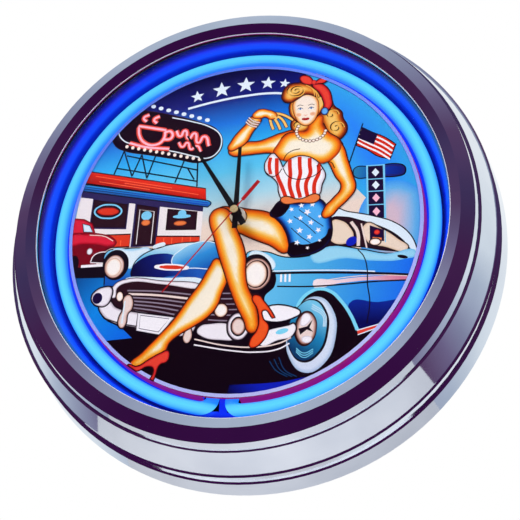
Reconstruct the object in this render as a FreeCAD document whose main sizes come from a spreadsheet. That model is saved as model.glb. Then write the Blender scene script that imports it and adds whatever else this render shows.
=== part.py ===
import FreeCAD, Part
import Sketcher
import math
import os
from FreeCAD import Placement, Rotation, Vector

# Neon wall clock. Everything is drawn in the clock frame: X to the right, Y up, Z from the wall
# towards the room, with the hands' axis on Z and the wall at Z = 0. STAND then turns each finished
# piece so that the front faces -Y and Z is up.

os.makedirs("parts", exist_ok=True)
doc = FreeCAD.newDocument("neon_wall_clock")
STAND = Placement(Vector(0, 0, 0), Rotation(Vector(1, 0, 0), 90))

SIZES = [
    # case
    ("overall_depth", 72.0), ("wall_gap", 3.0), ("rear_radius", 215.0), ("tail_inset", 6.2),
    ("mid_rear_inset", 8.0), ("mid_front_inset", 9.6), ("flare_rear_inset", 11.4),
    ("flare_front_radius", 190.6), ("tail_line", 22.2), ("mid_line", 37.2), ("line_step", 0.5),
    ("shell_wall", 2.5), ("shell_ledge", 2.5), ("spigot_height", 2.4), ("fit_gap", 0.3),
    # bezel, glass and gasket
    ("lip_radius", 167.5), ("crest_radius", 174.8), ("brow_radius", 185.5), ("skirt_radius", 189.1),
    ("lip_drop", 4.3), ("brow_drop", 3.0), ("bezel_height", 11.4), ("bezel_wall", 1.6),
    ("lip_return", 1.7), ("lip_width", 2.0), ("glass_thickness", 2.0), ("glass_gap", 2.5),
    ("gasket_thickness", 1.4),
    # reflector pan and dial
    ("sheet", 1.2), ("pan_mouth_radius", 168.0), ("pan_floor_radius", 164.0),
    ("pan_flange", 14.0), ("dial_setback", 26.6), ("dial_radius", 149.0), ("dial_rim_splay", 2.0),
    ("dial_rim_height", 10.0), ("post_ring", 110.0), ("post_radius", 4.0),
    ("post_screw_radius", 1.25), ("screw_gap", 0.05),
    # neon tube
    ("tube_ring", 157.5), ("tube_radius", 5.0), ("tube_wall", 1.0), ("tube_setback", 30.0),
    ("tube_gap_angle", 182.8), ("leg_spacing", 17.0), ("leg_bend", 9.0), ("leg_slope", 32.0),
    ("leg_length", 22.0), ("electrode_cap", 3.0), ("boot_wall", 1.2), ("boot_grip", 5.0),
    ("lead_radius", 1.2), ("lead_bend", 10.0), ("support_width", 8.0), ("support_length", 7.0),
    # inverter
    ("inverter_width", 96.0), ("inverter_length", 50.0), ("inverter_height", 16.0),
    ("inverter_wall", 1.6), ("inverter_top", -62.0), ("inverter_ear", 9.0),
    ("board_thickness", 1.6),
    # rear cover and what it carries
    ("cover_thickness", 2.0), ("cover_screw_inset", 13.0), ("boss_radius", 4.0),
    ("boss_height", 12.0), ("rib_width", 3.0), ("cover_seat", 5.0), ("cover_screw_radius", 1.5),
    ("screw_head_radius", 3.0),
    ("screw_head_height", 1.8), ("bumper_radius", 6.5), ("bumper_ring", 186.0),
    ("hanger_height", 165.0), ("hanger_width", 74.0), ("hanger_length", 40.0),
    ("hanger_thickness", 1.5), ("keyhole_radius", 5.0), ("keyhole_slot_radius", 2.5),
    ("keyhole_travel", 11.0), ("rivet_radius", 2.0),
    ("hatch_width", 84.0), ("hatch_overlap", 6.0), ("hatch_middle", -8.0),
    ("door_pin_radius", 0.6), ("hinge_ear", 6.0), ("hinge_gap", 0.4),
    ("socket_x", 100.0), ("socket_y", -104.0), ("pocket_width", 26.0), ("pocket_length", 38.0),
    ("pocket_depth", 15.0), ("jack_radius", 4.0), ("jack_bore", 2.8), ("jack_pin", 1.0),
    ("switch_y", -50.0), ("switch_width", 13.0), ("switch_length", 19.2), ("switch_depth", 13.0),
    ("switch_rim", 1.4), ("rocker_radius", 7.6), ("rocker_pin", 1.0),
    ("low_lead_radius", 0.9),
    # quartz movement
    ("movement_width", 56.0), ("movement_rise", 20.0), ("movement_fall", 36.5),
    ("movement_depth", 16.0), ("movement_wall", 1.2), ("bush_radius", 4.0), ("bush_length", 8.4),
    ("seal_thickness", 0.8), ("washer_thickness", 0.6), ("washer_radius", 7.4),
    ("nut_radius", 6.6), ("nut_height", 5.0), ("running_gap", 0.05),
    ("cell_radius", 7.1), ("cell_length", 49.0), ("cell_nub", 1.3),
    ("hour_pipe", 2.5), ("minute_pipe", 1.6), ("second_arbor", 0.5), ("pivot", 0.6),
    ("train_module", 0.30), ("motion_module", 0.35), ("rotor_module", 0.25),
    ("magnet_radius", 3.0), ("coil_radius", 3.6), ("coil_length", 22.0),
    ("knob_radius", 5.0), ("knob_height", 3.0),
    # hands
    ("hand_thickness", 0.4), ("hour_hand_rise", 10.8), ("minute_hand_rise", 13.4),
    ("second_hand_rise", 15.7), ("hour_length", 60.0), ("minute_length", 86.0),
    ("second_length", 88.0), ("hand_tail", 14.5), ("counterweight_reach", 31.0),
    ("hour_hub_width", 4.6), ("hour_tip_width", 2.8), ("minute_hub_width", 5.2),
    ("minute_tip_width", 1.5), ("second_width", 0.9), ("counterweight_width", 3.0),
    ("cap_radius", 3.2), ("cap_height", 0.9),
]

sheet = doc.addObject("Spreadsheet::Sheet", "sizes")
for row, (alias, number) in enumerate(SIZES, 1):
    sheet.set(f"A{row}", alias)
    sheet.set(f"B{row}", str(number))
    sheet.setAlias(f"B{row}", alias)
doc.recompute()


def size(name):
    """The expression of one driving size."""
    return f"sizes.{name}"


def value(expression):
    """The number that an expression over the sheet stands for now."""
    found = sheet.evalExpression(str(expression))
    return float(getattr(found, "Value", found))


# Heights above the wall, each worked out from the driving sizes.
CREST = size("overall_depth")
LIP = f"({CREST} - sizes.lip_drop)"
BROW = f"({CREST} - sizes.brow_drop)"
SHELL_FRONT = f"({CREST} - sizes.bezel_height)"
GLASS_FRONT = f"({LIP} - sizes.lip_return)"
GLASS_BACK = f"({GLASS_FRONT} - sizes.glass_thickness)"
FLANGE_FRONT = f"({GLASS_BACK} - sizes.gasket_thickness)"
FLANGE_BACK = f"({FLANGE_FRONT} - sizes.sheet)"
DIAL_FACE = f"({CREST} - sizes.dial_setback)"
DIAL_BACK = f"({DIAL_FACE} - sizes.sheet)"
FLOOR_FRONT = f"({DIAL_FACE} - sizes.dial_rim_height)"
FLOOR_BACK = f"({FLOOR_FRONT} - sizes.sheet)"
TUBE_HEIGHT = f"({CREST} - sizes.tube_setback)"
RIM = size("wall_gap")
COVER_INSIDE = f"({RIM} + sizes.cover_thickness)"
CASE_FRONT = f"({DIAL_BACK} - sizes.seal_thickness)"
CASE_BACK = f"({CASE_FRONT} - sizes.movement_depth)"
PLATE_FRONT = f"({CASE_FRONT} - sizes.movement_wall)"
PLATE_BACK = f"({CASE_BACK} + sizes.movement_wall)"
COVER_RADIUS = "(sizes.rear_radius - sizes.shell_wall - sizes.fit_gap)"
TAIL_RADIUS = "(sizes.rear_radius - sizes.tail_inset)"
MID_REAR_RADIUS = "(sizes.rear_radius - sizes.mid_rear_inset)"
MID_FRONT_RADIUS = "(sizes.rear_radius - sizes.mid_front_inset)"
FLARE_REAR_RADIUS = "(sizes.rear_radius - sizes.flare_rear_inset)"
SCREW_RING = "(sizes.rear_radius - sizes.cover_screw_inset)"

PIECES = []


def stand(thing, label):
    """Names a finished piece, stands it up and lists it for export."""
    if thing.TypeId in ("Part::Box", "Part::Cylinder"):
        thing.Label = label + "_solid"
        thing = group(label + "_piece", [thing])
    thing.Label = label
    thing.Placement = STAND
    PIECES.append(thing)
    return thing


def bind(thing, **expressions):
    for prop, expression in expressions.items():
        thing.setExpression(prop, str(expression))
    return thing


def put(thing, at_x=0, at_y=0, at_z=0):
    for letter, expression in (("x", at_x), ("y", at_y), ("z", at_z)):
        thing.setExpression(f"Placement.Base.{letter}", str(expression))
    return thing


def cylinder(name, radius, height, at_x=0, at_y=0, at_z=0):
    """A cylinder along Z that starts at height at_z."""
    made = doc.addObject("Part::Cylinder", name)
    return put(bind(made, Radius=radius, Height=height), at_x, at_y, at_z)


def box(name, x_span, y_span, z_span):
    """A box between the two expressions of each span."""
    made = doc.addObject("Part::Box", name)
    bind(made, Length=f"{x_span[1]} - ({x_span[0]})", Width=f"{y_span[1]} - ({y_span[0]})",
         Height=f"{z_span[1]} - ({z_span[0]})")
    return put(made, x_span[0], y_span[0], z_span[0])


def cut(name, base, tool):
    made = doc.addObject("Part::Cut", name)
    made.Base, made.Tool = base, tool
    return made


def join(name, things):
    made = doc.addObject("Part::MultiFuse", name)
    made.Shapes = things
    return made


def group(name, things):
    """Separate solids that share one node."""
    made = doc.addObject("Part::Compound", name)
    made.Links = things
    return made


def around(ring, turn):
    """The X and Y expressions of a point on a ring, turned clockwise from the top."""
    return f"({ring}) * sin({turn} deg)", f"({ring}) * cos({turn} deg)"


def origin_plane(body, role):
    return next(item for item in body.Origin.OriginFeatures if item.Role == role)


def outline(body, name, role, points):
    """A closed sketch whose corners are bound to (across, up) expressions."""
    sketch = body.newObject("Sketcher::SketchObject", name)
    sketch.AttachmentSupport = [(origin_plane(body, role), "")]
    sketch.MapMode = "FlatFace"
    corners = [Vector(value(across), value(up), 0) for across, up in points]
    for index, corner in enumerate(corners):
        sketch.addGeometry(Part.LineSegment(corner, corners[(index + 1) % len(corners)]), False)
    for index in range(len(corners)):
        sketch.addConstraint(
            Sketcher.Constraint("Coincident", index, 2, (index + 1) % len(corners), 1))
    for index, (across, up) in enumerate(points):
        for kind, expression in (("DistanceX", across), ("DistanceY", up)):
            place = sketch.addConstraint(
                Sketcher.Constraint(kind, -1, 1, index, 1, value(expression)))
            sketch.setExpression(f"Constraints[{place}]", str(expression))
    return sketch


def lathe(name, points):
    """A body turned about Z from (radius, height) expressions."""
    body = doc.addObject("PartDesign::Body", name)
    sketch = outline(body, name + "_profile", "XZ_Plane", points)
    turned = body.newObject("PartDesign::Revolution", name + "_turned")
    turned.Profile = sketch
    turned.ReferenceAxis = (sketch, ["V_Axis"])
    turned.Angle = 360
    body.Tip = turned
    return body


def shaped(name, shape):
    """A piece whose shape comes from Part's own functions."""
    made = doc.addObject("Part::Feature", name)
    made.Shape = shape
    return made


def case_pieces():
    """The chrome shell and bezel, the glass and its gasket."""
    inner = "sizes.shell_wall"
    seat = "(sizes.rear_radius - sizes.cover_seat)"
    slope = ("(sizes.skirt_radius - sizes.brow_radius) / "
             "(sizes.bezel_height - sizes.brow_drop - sizes.bezel_wall)")
    spigot = "(sizes.skirt_radius - sizes.bezel_wall - sizes.fit_gap)"
    spigot_top = f"({spigot} - sizes.spigot_height * {slope})"
    flange_rim = f"({PAN_FLANGE_RADIUS} + sizes.fit_gap)"
    turning = lathe("shell_turning", [
        (f"sizes.rear_radius - {inner}", RIM),
        ("sizes.rear_radius", RIM),
        (TAIL_RADIUS, "sizes.tail_line"),
        (MID_REAR_RADIUS, "sizes.tail_line + sizes.line_step"),
        (MID_FRONT_RADIUS, "sizes.mid_line"),
        (FLARE_REAR_RADIUS, "sizes.mid_line + sizes.line_step"),
        ("sizes.flare_front_radius", SHELL_FRONT),
        (spigot, SHELL_FRONT),
        (spigot_top, f"{SHELL_FRONT} + sizes.spigot_height"),
        (flange_rim, f"{SHELL_FRONT} + sizes.spigot_height"),
        (flange_rim, FLANGE_BACK),
        (f"{PAN_WALL_OUTSIDE} + sizes.fit_gap", FLANGE_BACK),
        (f"{PAN_WALL_OUTSIDE} + sizes.fit_gap", f"{FLANGE_BACK} - sizes.shell_ledge"),
        (f"sizes.flare_front_radius - {inner}", f"{FLANGE_BACK} - sizes.shell_ledge"),
        (f"{FLARE_REAR_RADIUS} - {inner}", "sizes.mid_line"),
        (f"{MID_REAR_RADIUS} - {inner}", "sizes.tail_line"),
        (seat, COVER_INSIDE),
        (f"sizes.rear_radius - {inner}", COVER_INSIDE),
    ])
    bosses = []
    pilots = []
    for count in range(6):
        turn = 30 + 60 * count
        at_x, at_y = around(SCREW_RING, turn)
        bosses.append(cylinder(f"boss_{count}", "sizes.boss_radius", "sizes.boss_height",
                               at_x, at_y, COVER_INSIDE))
        pilots.append(cylinder(f"pilot_{count}", "sizes.cover_screw_radius + sizes.screw_gap",
                               "sizes.boss_height - 2", at_x, at_y, COVER_INSIDE))
        rib = doc.addObject("Part::Box", f"rib_{count}")
        bind(rib, Length="sizes.rib_width", Width=f"{seat} + 1 - {SCREW_RING}",
             Height="sizes.boss_height / 3")
        rib.Placement = Placement(Vector(0, 0, 0), Rotation(Vector(0, 0, 1), -turn))
        half = "sizes.rib_width / 2"
        put(rib, f"{at_x} - {half} * cos({turn} deg)", f"{at_y} + {half} * sin({turn} deg)", COVER_INSIDE)
        bosses.append(rib)
    shell = join("shell_joined", [turning] + bosses)
    stand(cut("body_shell", shell, join("shell_pilots", pilots)), "body_shell")

    wall = "sizes.bezel_wall"
    stand(lathe("front_bezel", [
        ("sizes.lip_radius", LIP),
        ("sizes.crest_radius", CREST),
        ("sizes.brow_radius", BROW),
        ("sizes.skirt_radius", SHELL_FRONT),
        (f"sizes.skirt_radius - {wall}", SHELL_FRONT),
        (f"sizes.brow_radius - {wall}", f"{BROW} - {wall}"),
        ("sizes.crest_radius", f"{CREST} - 1.2 * {wall}"),
        ("sizes.lip_radius + sizes.lip_width", GLASS_FRONT),
        ("sizes.lip_radius", GLASS_FRONT),
    ]), "front_bezel")

    glass_radius = f"(sizes.brow_radius - {wall} - sizes.glass_gap)"
    stand(cylinder("front_glass", glass_radius, "sizes.glass_thickness", 0, 0, GLASS_BACK),
          "front_glass")
    stand(lathe("glass_gasket", [
        ("sizes.pan_mouth_radius", FLANGE_FRONT),
        (f"{glass_radius} - 1", FLANGE_FRONT),
        (f"{glass_radius} - 1", GLASS_BACK),
        ("sizes.pan_mouth_radius", GLASS_BACK),
    ]), "glass_gasket")


PAN_FLANGE_RADIUS = "(sizes.pan_mouth_radius + sizes.pan_flange)"
PAN_WALL_OUTSIDE = "(sizes.pan_mouth_radius + sizes.sheet)"


def leg_frame():
    """The gap's outward and sideways directions and the legs' direction, as vectors."""
    turn = math.radians(value("sizes.tube_gap_angle"))
    slope = math.radians(value("sizes.leg_slope"))
    outward = Vector(math.sin(turn), math.cos(turn), 0)
    sideways = Vector(outward.y, -outward.x, 0)
    along = outward * -math.cos(slope) + Vector(0, 0, -math.sin(slope))
    return outward, sideways, along


def bend(start, heading, goal, radius):
    """An arc from start that turns from heading to goal, with the points it passes and ends at."""
    turn = math.acos(max(-1.0, min(1.0, heading.dot(goal))))
    inward = (goal - heading * heading.dot(goal)).normalize()

    def reached(angle):
        return start + heading * (radius * math.sin(angle)) + inward * (radius * (1 - math.cos(angle)))

    end = reached(turn)
    return Part.Arc(start, reached(turn / 2), end).toShape(), end


def pipe(edges, radius, bore=0):
    """A round bar, or a tube with a bore, made of exact straight and bent stretches."""
    whole = None
    for edge in edges:
        start = edge.valueAt(edge.FirstParameter)
        heading = edge.tangentAt(edge.FirstParameter)
        section = Part.Face(Part.Wire([Part.makeCircle(radius, start, heading)]))
        if bore:
            section = section.cut(Part.Face(Part.Wire([Part.makeCircle(bore, start, heading)])))
        if isinstance(edge.Curve, Part.Line):
            stretch = section.extrude(edge.valueAt(edge.LastParameter) - start)
        else:
            turn = math.degrees(edge.LastParameter - edge.FirstParameter)
            stretch = section.revolve(edge.Curve.Center, edge.Curve.Axis, turn)
        whole = stretch if whole is None else whole.fuse(stretch)
    if whole.Solids[0].Volume < 0:
        raise RuntimeError("a bent stretch is inside out")
    return whole.removeSplitter().Solids[0]


def tube_legs():
    """For each leg of the tube: the ring's end, the arc into the leg and the leg's two ends."""
    outward, sideways, along = leg_frame()
    ring = value("sizes.tube_ring")
    height = value(TUBE_HEIGHT)
    half_gap = (value("sizes.leg_spacing") / 2 + value("sizes.leg_bend")) / ring
    legs = {}
    for name, hand in (("left", 1), ("right", -1)):
        radial = outward * math.cos(half_gap) + sideways * (-hand * math.sin(half_gap))
        start = radial * ring + Vector(0, 0, height)
        heading = (sideways * math.cos(half_gap) + outward * (hand * math.sin(half_gap))) * hand
        arc, elbow = bend(start, heading, along, value("sizes.leg_bend"))
        foot = elbow + along * value("sizes.leg_length")
        legs[name] = {"start": start, "arc": arc, "elbow": elbow, "foot": foot, "along": along}
    return legs


def tube_line(legs):
    """The tube's centre line from one foot, round the ring, to the other."""
    ring = value("sizes.tube_ring")
    outward = leg_frame()[0]
    top = outward * -ring + Vector(0, 0, value(TUBE_HEIGHT))
    left, right = legs["left"], legs["right"]
    return [Part.makeLine(left["foot"], left["elbow"]),
            Part.Arc(left["elbow"], left["arc"].valueAt(middle(left["arc"])), left["start"]).toShape(),
            Part.Arc(left["start"], top, right["start"]).toShape(),
            right["arc"],
            Part.makeLine(right["elbow"], right["foot"])]


def middle(edge):
    return (edge.FirstParameter + edge.LastParameter) / 2


def light_pieces():
    """The neon tube with its electrodes, boots, supports and high-voltage leads."""
    radius = value("sizes.tube_radius")
    wall = value("sizes.tube_wall")
    legs = tube_legs()
    line = tube_line(legs)
    stand(shaped("neon_tube", pipe(line, radius, radius - wall)), "neon_tube")

    cap = value("sizes.electrode_cap")
    grip = value("sizes.boot_grip")
    boot_wall = value("sizes.boot_wall")
    lead = value("sizes.lead_radius")
    gap = value("sizes.screw_gap")
    electrodes = []
    boots = []
    leads = []
    inverter_face = value(INVERTER_LOW)
    for leg in legs.values():
        foot, along = leg["foot"], leg["along"]
        shell = Part.makeCylinder(radius - wall - 0.3, 12, foot - along * 12, along)
        electrodes.append(shell.fuse(Part.makeCylinder(radius, cap, foot, along)))
        back = foot + along * cap
        outside = Part.makeCylinder(radius + boot_wall, grip + cap + boot_wall, foot - along * grip, along)
        inside = Part.makeCylinder(radius + gap, grip + cap, foot - along * grip, along)
        boots.append(outside.cut(inside).cut(Part.makeCylinder(lead + gap, cap, back, along)))
        straight = back + along * (boot_wall + 0.5)
        arc, turned = bend(straight, along, Vector(0, 1, 0), value("sizes.lead_bend"))
        entry = Vector(turned.x, inverter_face + value("sizes.inverter_wall") + 4, turned.z)
        leads.append(pipe([Part.makeLine(back, straight), arc, Part.makeLine(turned, entry)], lead))
    stand(shaped("electrodes", Part.makeCompound(electrodes)), "electrodes")
    stand(shaped("electrode_boots", Part.makeCompound(boots)), "electrode_boots")
    stand(shaped("high_voltage_leads", Part.makeCompound(leads)), "high_voltage_leads")

    supports = []
    hollow = doc.addObject("Part::Torus", "support_hollow")
    put(bind(hollow, Radius1="sizes.tube_ring", Radius2="sizes.tube_radius + sizes.fit_gap"),
        0, 0, TUBE_HEIGHT)
    for count, turn in enumerate(SUPPORT_TURNS):
        block = box(f"support_block_{count}", ("0", "sizes.support_width"),
                    ("0", "sizes.support_length"), (FLOOR_FRONT, f"{TUBE_HEIGHT} - 2"))
        block.Placement = Placement(Vector(0, 0, 0), Rotation(Vector(0, 0, 1), -turn))
        inner = "(sizes.tube_ring - sizes.support_length / 2)"
        across = "sizes.support_width / 2"
        put(block, f"{inner} * sin({turn} deg) - {across} * cos({turn} deg)",
            f"{inner} * cos({turn} deg) + {across} * sin({turn} deg)", FLOOR_FRONT)
        supports.append(block)
    stand(cut("tube_supports", join("support_blocks", supports), hollow), "tube_supports")


SUPPORT_TURNS = (25, 85, 145, 225, 295)
INVERTER_LOW = "(sizes.inverter_top - sizes.inverter_length)"
INVERTER_BACK = f"({FLOOR_BACK} - sizes.inverter_height)"
LID_BACK = f"({FLOOR_BACK} - sizes.inverter_wall)"


def pan_and_dial():
    """The white reflector pan, the printed dial and the posts that hold it."""
    pan = lathe("pan_turning", [
        ("0", FLOOR_BACK), ("0", FLOOR_FRONT),
        ("sizes.pan_floor_radius", FLOOR_FRONT),
        ("sizes.pan_mouth_radius", FLANGE_FRONT),
        (PAN_FLANGE_RADIUS, FLANGE_FRONT),
        (PAN_FLANGE_RADIUS, FLANGE_BACK),
        (PAN_WALL_OUTSIDE, FLANGE_BACK),
        ("sizes.pan_floor_radius + sizes.sheet", FLOOR_BACK),
    ])
    through = (f"({FLOOR_BACK} - 1)", f"({FLOOR_FRONT} + 1)")
    clear = "(sizes.movement_width / 2 + 2)"
    openings = [box("movement_opening", (f"-{clear}", clear),
                    ("-(sizes.movement_fall + 2)", "sizes.movement_rise + 2"), through)]
    legs = tube_legs()
    outward, sideways, along = leg_frame()
    reach = 1.7 * value("sizes.tube_radius")
    for name, wide in (("left", 10.5), ("right", 7.5)):
        leg = legs[name]
        down = (leg["elbow"].z - value(FLOOR_FRONT)) / -along.z
        crossing = leg["elbow"] + along * down
        openings.append(box(f"{name}_leg_opening",
                            (crossing.x - (wide if name == "left" else 7), crossing.x + 7),
                            (crossing.y - reach - 2, crossing.y + reach + 6), through))
    for count in range(4):
        at_x, at_y = around("sizes.post_ring", 45 + 90 * count)
        openings.append(cylinder(f"post_hole_{count}", "sizes.post_screw_radius + 0.3",
                                 f"{through[1]} - {through[0]}", at_x, at_y, through[0]))
    for count, at_x in enumerate(INVERTER_SCREW_X):
        openings.append(cylinder(f"ear_hole_{count}", "sizes.post_screw_radius + sizes.screw_gap",
                                 f"{through[1]} - {through[0]}", at_x, INVERTER_MIDDLE, through[0]))
    stand(cut("reflector_pan", pan, join("pan_openings", openings)), "reflector_pan")

    rim = "(sizes.dial_radius + sizes.dial_rim_splay)"
    hole = "(sizes.bush_radius + 0.2)"
    dial = lathe("dial_turning", [
        (hole, DIAL_BACK), (hole, DIAL_FACE),
        ("sizes.dial_radius", DIAL_FACE),
        (rim, FLOOR_FRONT),
        (f"{rim} - sizes.sheet", FLOOR_FRONT),
        ("sizes.dial_radius - sizes.sheet", DIAL_BACK),
    ])
    middle_x = value("sizes.dial_radius") * outward.x
    half = value("sizes.leg_spacing") / 2 + value("sizes.tube_radius") + 1.3
    notch = box("leg_notch", (middle_x - half, middle_x + half),
                (f"-({rim} + 1)", "-(sizes.dial_radius - 6)"), (f"{FLOOR_FRONT} - 1", DIAL_BACK))
    stand(cut("dial_plate", dial, notch), "dial_plate")

    posts = []
    bores = []
    screws = []
    for count in range(4):
        at_x, at_y = around("sizes.post_ring", 45 + 90 * count)
        posts.append(cylinder(f"post_{count}", "sizes.post_radius", f"{DIAL_BACK} - {FLOOR_FRONT}",
                              at_x, at_y, FLOOR_FRONT))
        bores.append(cylinder(f"post_bore_{count}", "sizes.post_screw_radius + sizes.screw_gap",
                              "7", at_x, at_y, FLOOR_FRONT))
        screws.append(screw(f"post_screw_{count}", "sizes.post_screw_radius", 7.5, at_x, at_y,
                            FLOOR_BACK))
    stand(cut("dial_posts", join("post_bars", posts), join("post_bores", bores)), "dial_posts")
    stand(group("dial_post_screws", screws), "dial_post_screws")


def screw(name, radius, reach, at_x, at_y, head_seat):
    """A pan-head screw whose head lies behind head_seat and whose shank points to the front."""
    head = cylinder(name + "_head", "sizes.screw_head_radius", "sizes.screw_head_height",
                    at_x, at_y, f"{head_seat} - sizes.screw_head_height")
    shank = cylinder(name + "_shank", radius, reach, at_x, at_y, head_seat)
    slot = box(name + "_slot", ("0", "4.2"), ("0", "0.8"), ("0", "0.9"))
    put(slot, f"{at_x} - 2.1", f"{at_y} - 0.4", f"{head_seat} - sizes.screw_head_height - 0.1")
    cross = box(name + "_cross", ("0", "0.8"), ("0", "4.2"), ("0", "0.9"))
    put(cross, f"{at_x} - 0.4", f"{at_y} - 2.1", f"{head_seat} - sizes.screw_head_height - 0.1")
    return cut(name, join(name + "_blank", [head, shank]), join(name + "_drive", [slot, cross]))


INVERTER_SCREW_X = ("-(sizes.inverter_width / 2 + sizes.inverter_ear / 2)",
                    "sizes.inverter_width / 2 + sizes.inverter_ear / 2")
INVERTER_MIDDLE = "(sizes.inverter_top - sizes.inverter_length / 2)"


def inverter_pieces():
    """The lamp's inverter behind the pan: case, lid, board and the parts on the board."""
    half = "sizes.inverter_width / 2"
    wall = "sizes.inverter_wall"
    top, low = "sizes.inverter_top", INVERTER_LOW
    shell = box("inverter_block", (f"-{half}", half), (low, top), (INVERTER_BACK, LID_BACK))
    room = box("inverter_room", (f"-{half} + {wall}", f"{half} - {wall}"),
               (f"{low} + {wall}", f"{top} - {wall}"), (f"{INVERTER_BACK} + {wall}", f"{LID_BACK} + 1"))
    entries = []
    for name, leg in tube_legs().items():
        straight = leg["foot"] + leg["along"] * (value("sizes.electrode_cap")
                                                 + value("sizes.boot_wall") + 0.5)
        turned = bend(straight, leg["along"], Vector(0, 1, 0), value("sizes.lead_bend"))[1]
        entries.append(turned_along_y(f"{name}_entry", "sizes.lead_radius + sizes.screw_gap",
                                      (f"{low} - 1", f"{low} + {wall} + 1"), turned.x, turned.z))
    for count, drop in enumerate(LOW_LEAD_DROPS):
        entries.append(turned_along_x(f"low_entry_{count}", "sizes.low_lead_radius + sizes.screw_gap",
                                      (f"{half} - {wall} - 1", f"{half} + 1"),
                                      f"{top} - {drop}", LOW_LEAD_HEIGHT))
    stand(cut("inverter_case", shell, join("inverter_hollow", [room] + entries)), "inverter_case")

    lid = box("lid_plate", (f"-{half}", half), (low, top), (LID_BACK, FLOOR_BACK))
    ears = box("lid_ears", (f"-({half} + sizes.inverter_ear)", f"{half} + sizes.inverter_ear"),
               (f"{INVERTER_MIDDLE} - 6", f"{INVERTER_MIDDLE} + 6"), (LID_BACK, FLOOR_BACK))
    holes = []
    screws = []
    for count, at_x in enumerate(INVERTER_SCREW_X):
        holes.append(cylinder(f"lid_hole_{count}", "sizes.post_screw_radius + 0.3", f"{wall} + 2",
                              at_x, INVERTER_MIDDLE, f"{LID_BACK} - 1"))
        screws.append(screw(f"ear_screw_{count}", "sizes.post_screw_radius", 5, at_x,
                            INVERTER_MIDDLE, LID_BACK))
    stand(cut("inverter_lid", join("lid_joined", [lid, ears]), join("lid_holes", holes)),
          "inverter_lid")
    stand(group("inverter_screws", screws), "inverter_screws")

    margin = "2"
    board_front = f"({LID_BACK} - 2)"
    board_back = f"({board_front} - sizes.board_thickness)"
    stand(box("inverter_board", (f"-{half} + {wall} + {margin}", f"{half} - {wall} - {margin}"),
              (f"{low} + {wall} + 5", f"{top} - {wall} - {margin}"), (board_back, board_front)),
          "inverter_board")
    core = box("transformer_core", ("-22", "-4"), (f"{INVERTER_MIDDLE} - 9", f"{INVERTER_MIDDLE} + 9"),
               (f"{board_back} - 8", board_back))
    winding = cylinder("transformer_winding", "7", "8.2", -13, INVERTER_MIDDLE, f"{board_back} - 8.2")
    stand(join("inverter_transformer", [core, winding]), "inverter_transformer")
    cans = [cylinder(f"capacitor_{count}", "4", "8", at_x, f"{INVERTER_MIDDLE} + {lift}",
                     f"{board_back} - 8")
            for count, (at_x, lift) in enumerate(((12, 8), (12, -8)))]
    stand(group("inverter_capacitors", cans), "inverter_capacitors")
    stand(join("inverter_transistor", [
        box("transistor_body", ("24", "34"), (f"{INVERTER_MIDDLE} - 2", f"{INVERTER_MIDDLE} + 2.5"),
            (f"{board_back} - 8", board_back)),
        box("transistor_tab", ("22", "36"), (f"{INVERTER_MIDDLE} + 2.5", f"{INVERTER_MIDDLE} + 4"),
            (f"{board_back} - 8.2", board_back))]), "inverter_transistor")


LOW_LEAD_HEIGHT = f"({INVERTER_BACK} + 6)"
LOW_LEAD_DROPS = (6, 12)
HATCH_HALF = "(sizes.hatch_width / 2)"
DOOR_HALF = f"({HATCH_HALF} + sizes.hatch_overlap)"
HINGE_Y = f"(sizes.hatch_middle - {DOOR_HALF} - {RIM} / 2)"
HINGE_Z = f"({RIM} / 2)"


def route(points, radius):
    """Straight runs through hand-chosen points, with one bend radius at each corner."""
    edges = []
    start = points[0]
    for index in range(1, len(points) - 1):
        corner = points[index]
        heading = (corner - points[index - 1]).normalize()
        leaving = (points[index + 1] - corner).normalize()
        setback = radius * math.tan(math.acos(heading.dot(leaving)) / 2)
        arc, end = bend(corner - heading * setback, heading, leaving, radius)
        edges += [Part.makeLine(start, corner - heading * setback), arc]
        start = end
    return edges + [Part.makeLine(start, points[-1])]


def turned_along_y(name, radius, span, at_x, at_z):
    """A cylinder along Y between the two expressions of span."""
    made = doc.addObject("Part::Cylinder", name)
    bind(made, Radius=radius, Height=f"{span[1]} - ({span[0]})")
    made.Placement = Placement(Vector(0, 0, 0), Rotation(Vector(1, 0, 0), -90))
    return put(made, at_x, span[0], at_z)


def turned_along_x(name, radius, span, at_y, at_z):
    """A cylinder along X between the two expressions of span."""
    made = doc.addObject("Part::Cylinder", name)
    bind(made, Radius=radius, Height=f"{span[1]} - ({span[0]})")
    made.Placement = Placement(Vector(0, 0, 0), Rotation(Vector(0, 1, 0), 90))
    return put(made, span[0], at_y, at_z)


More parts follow.
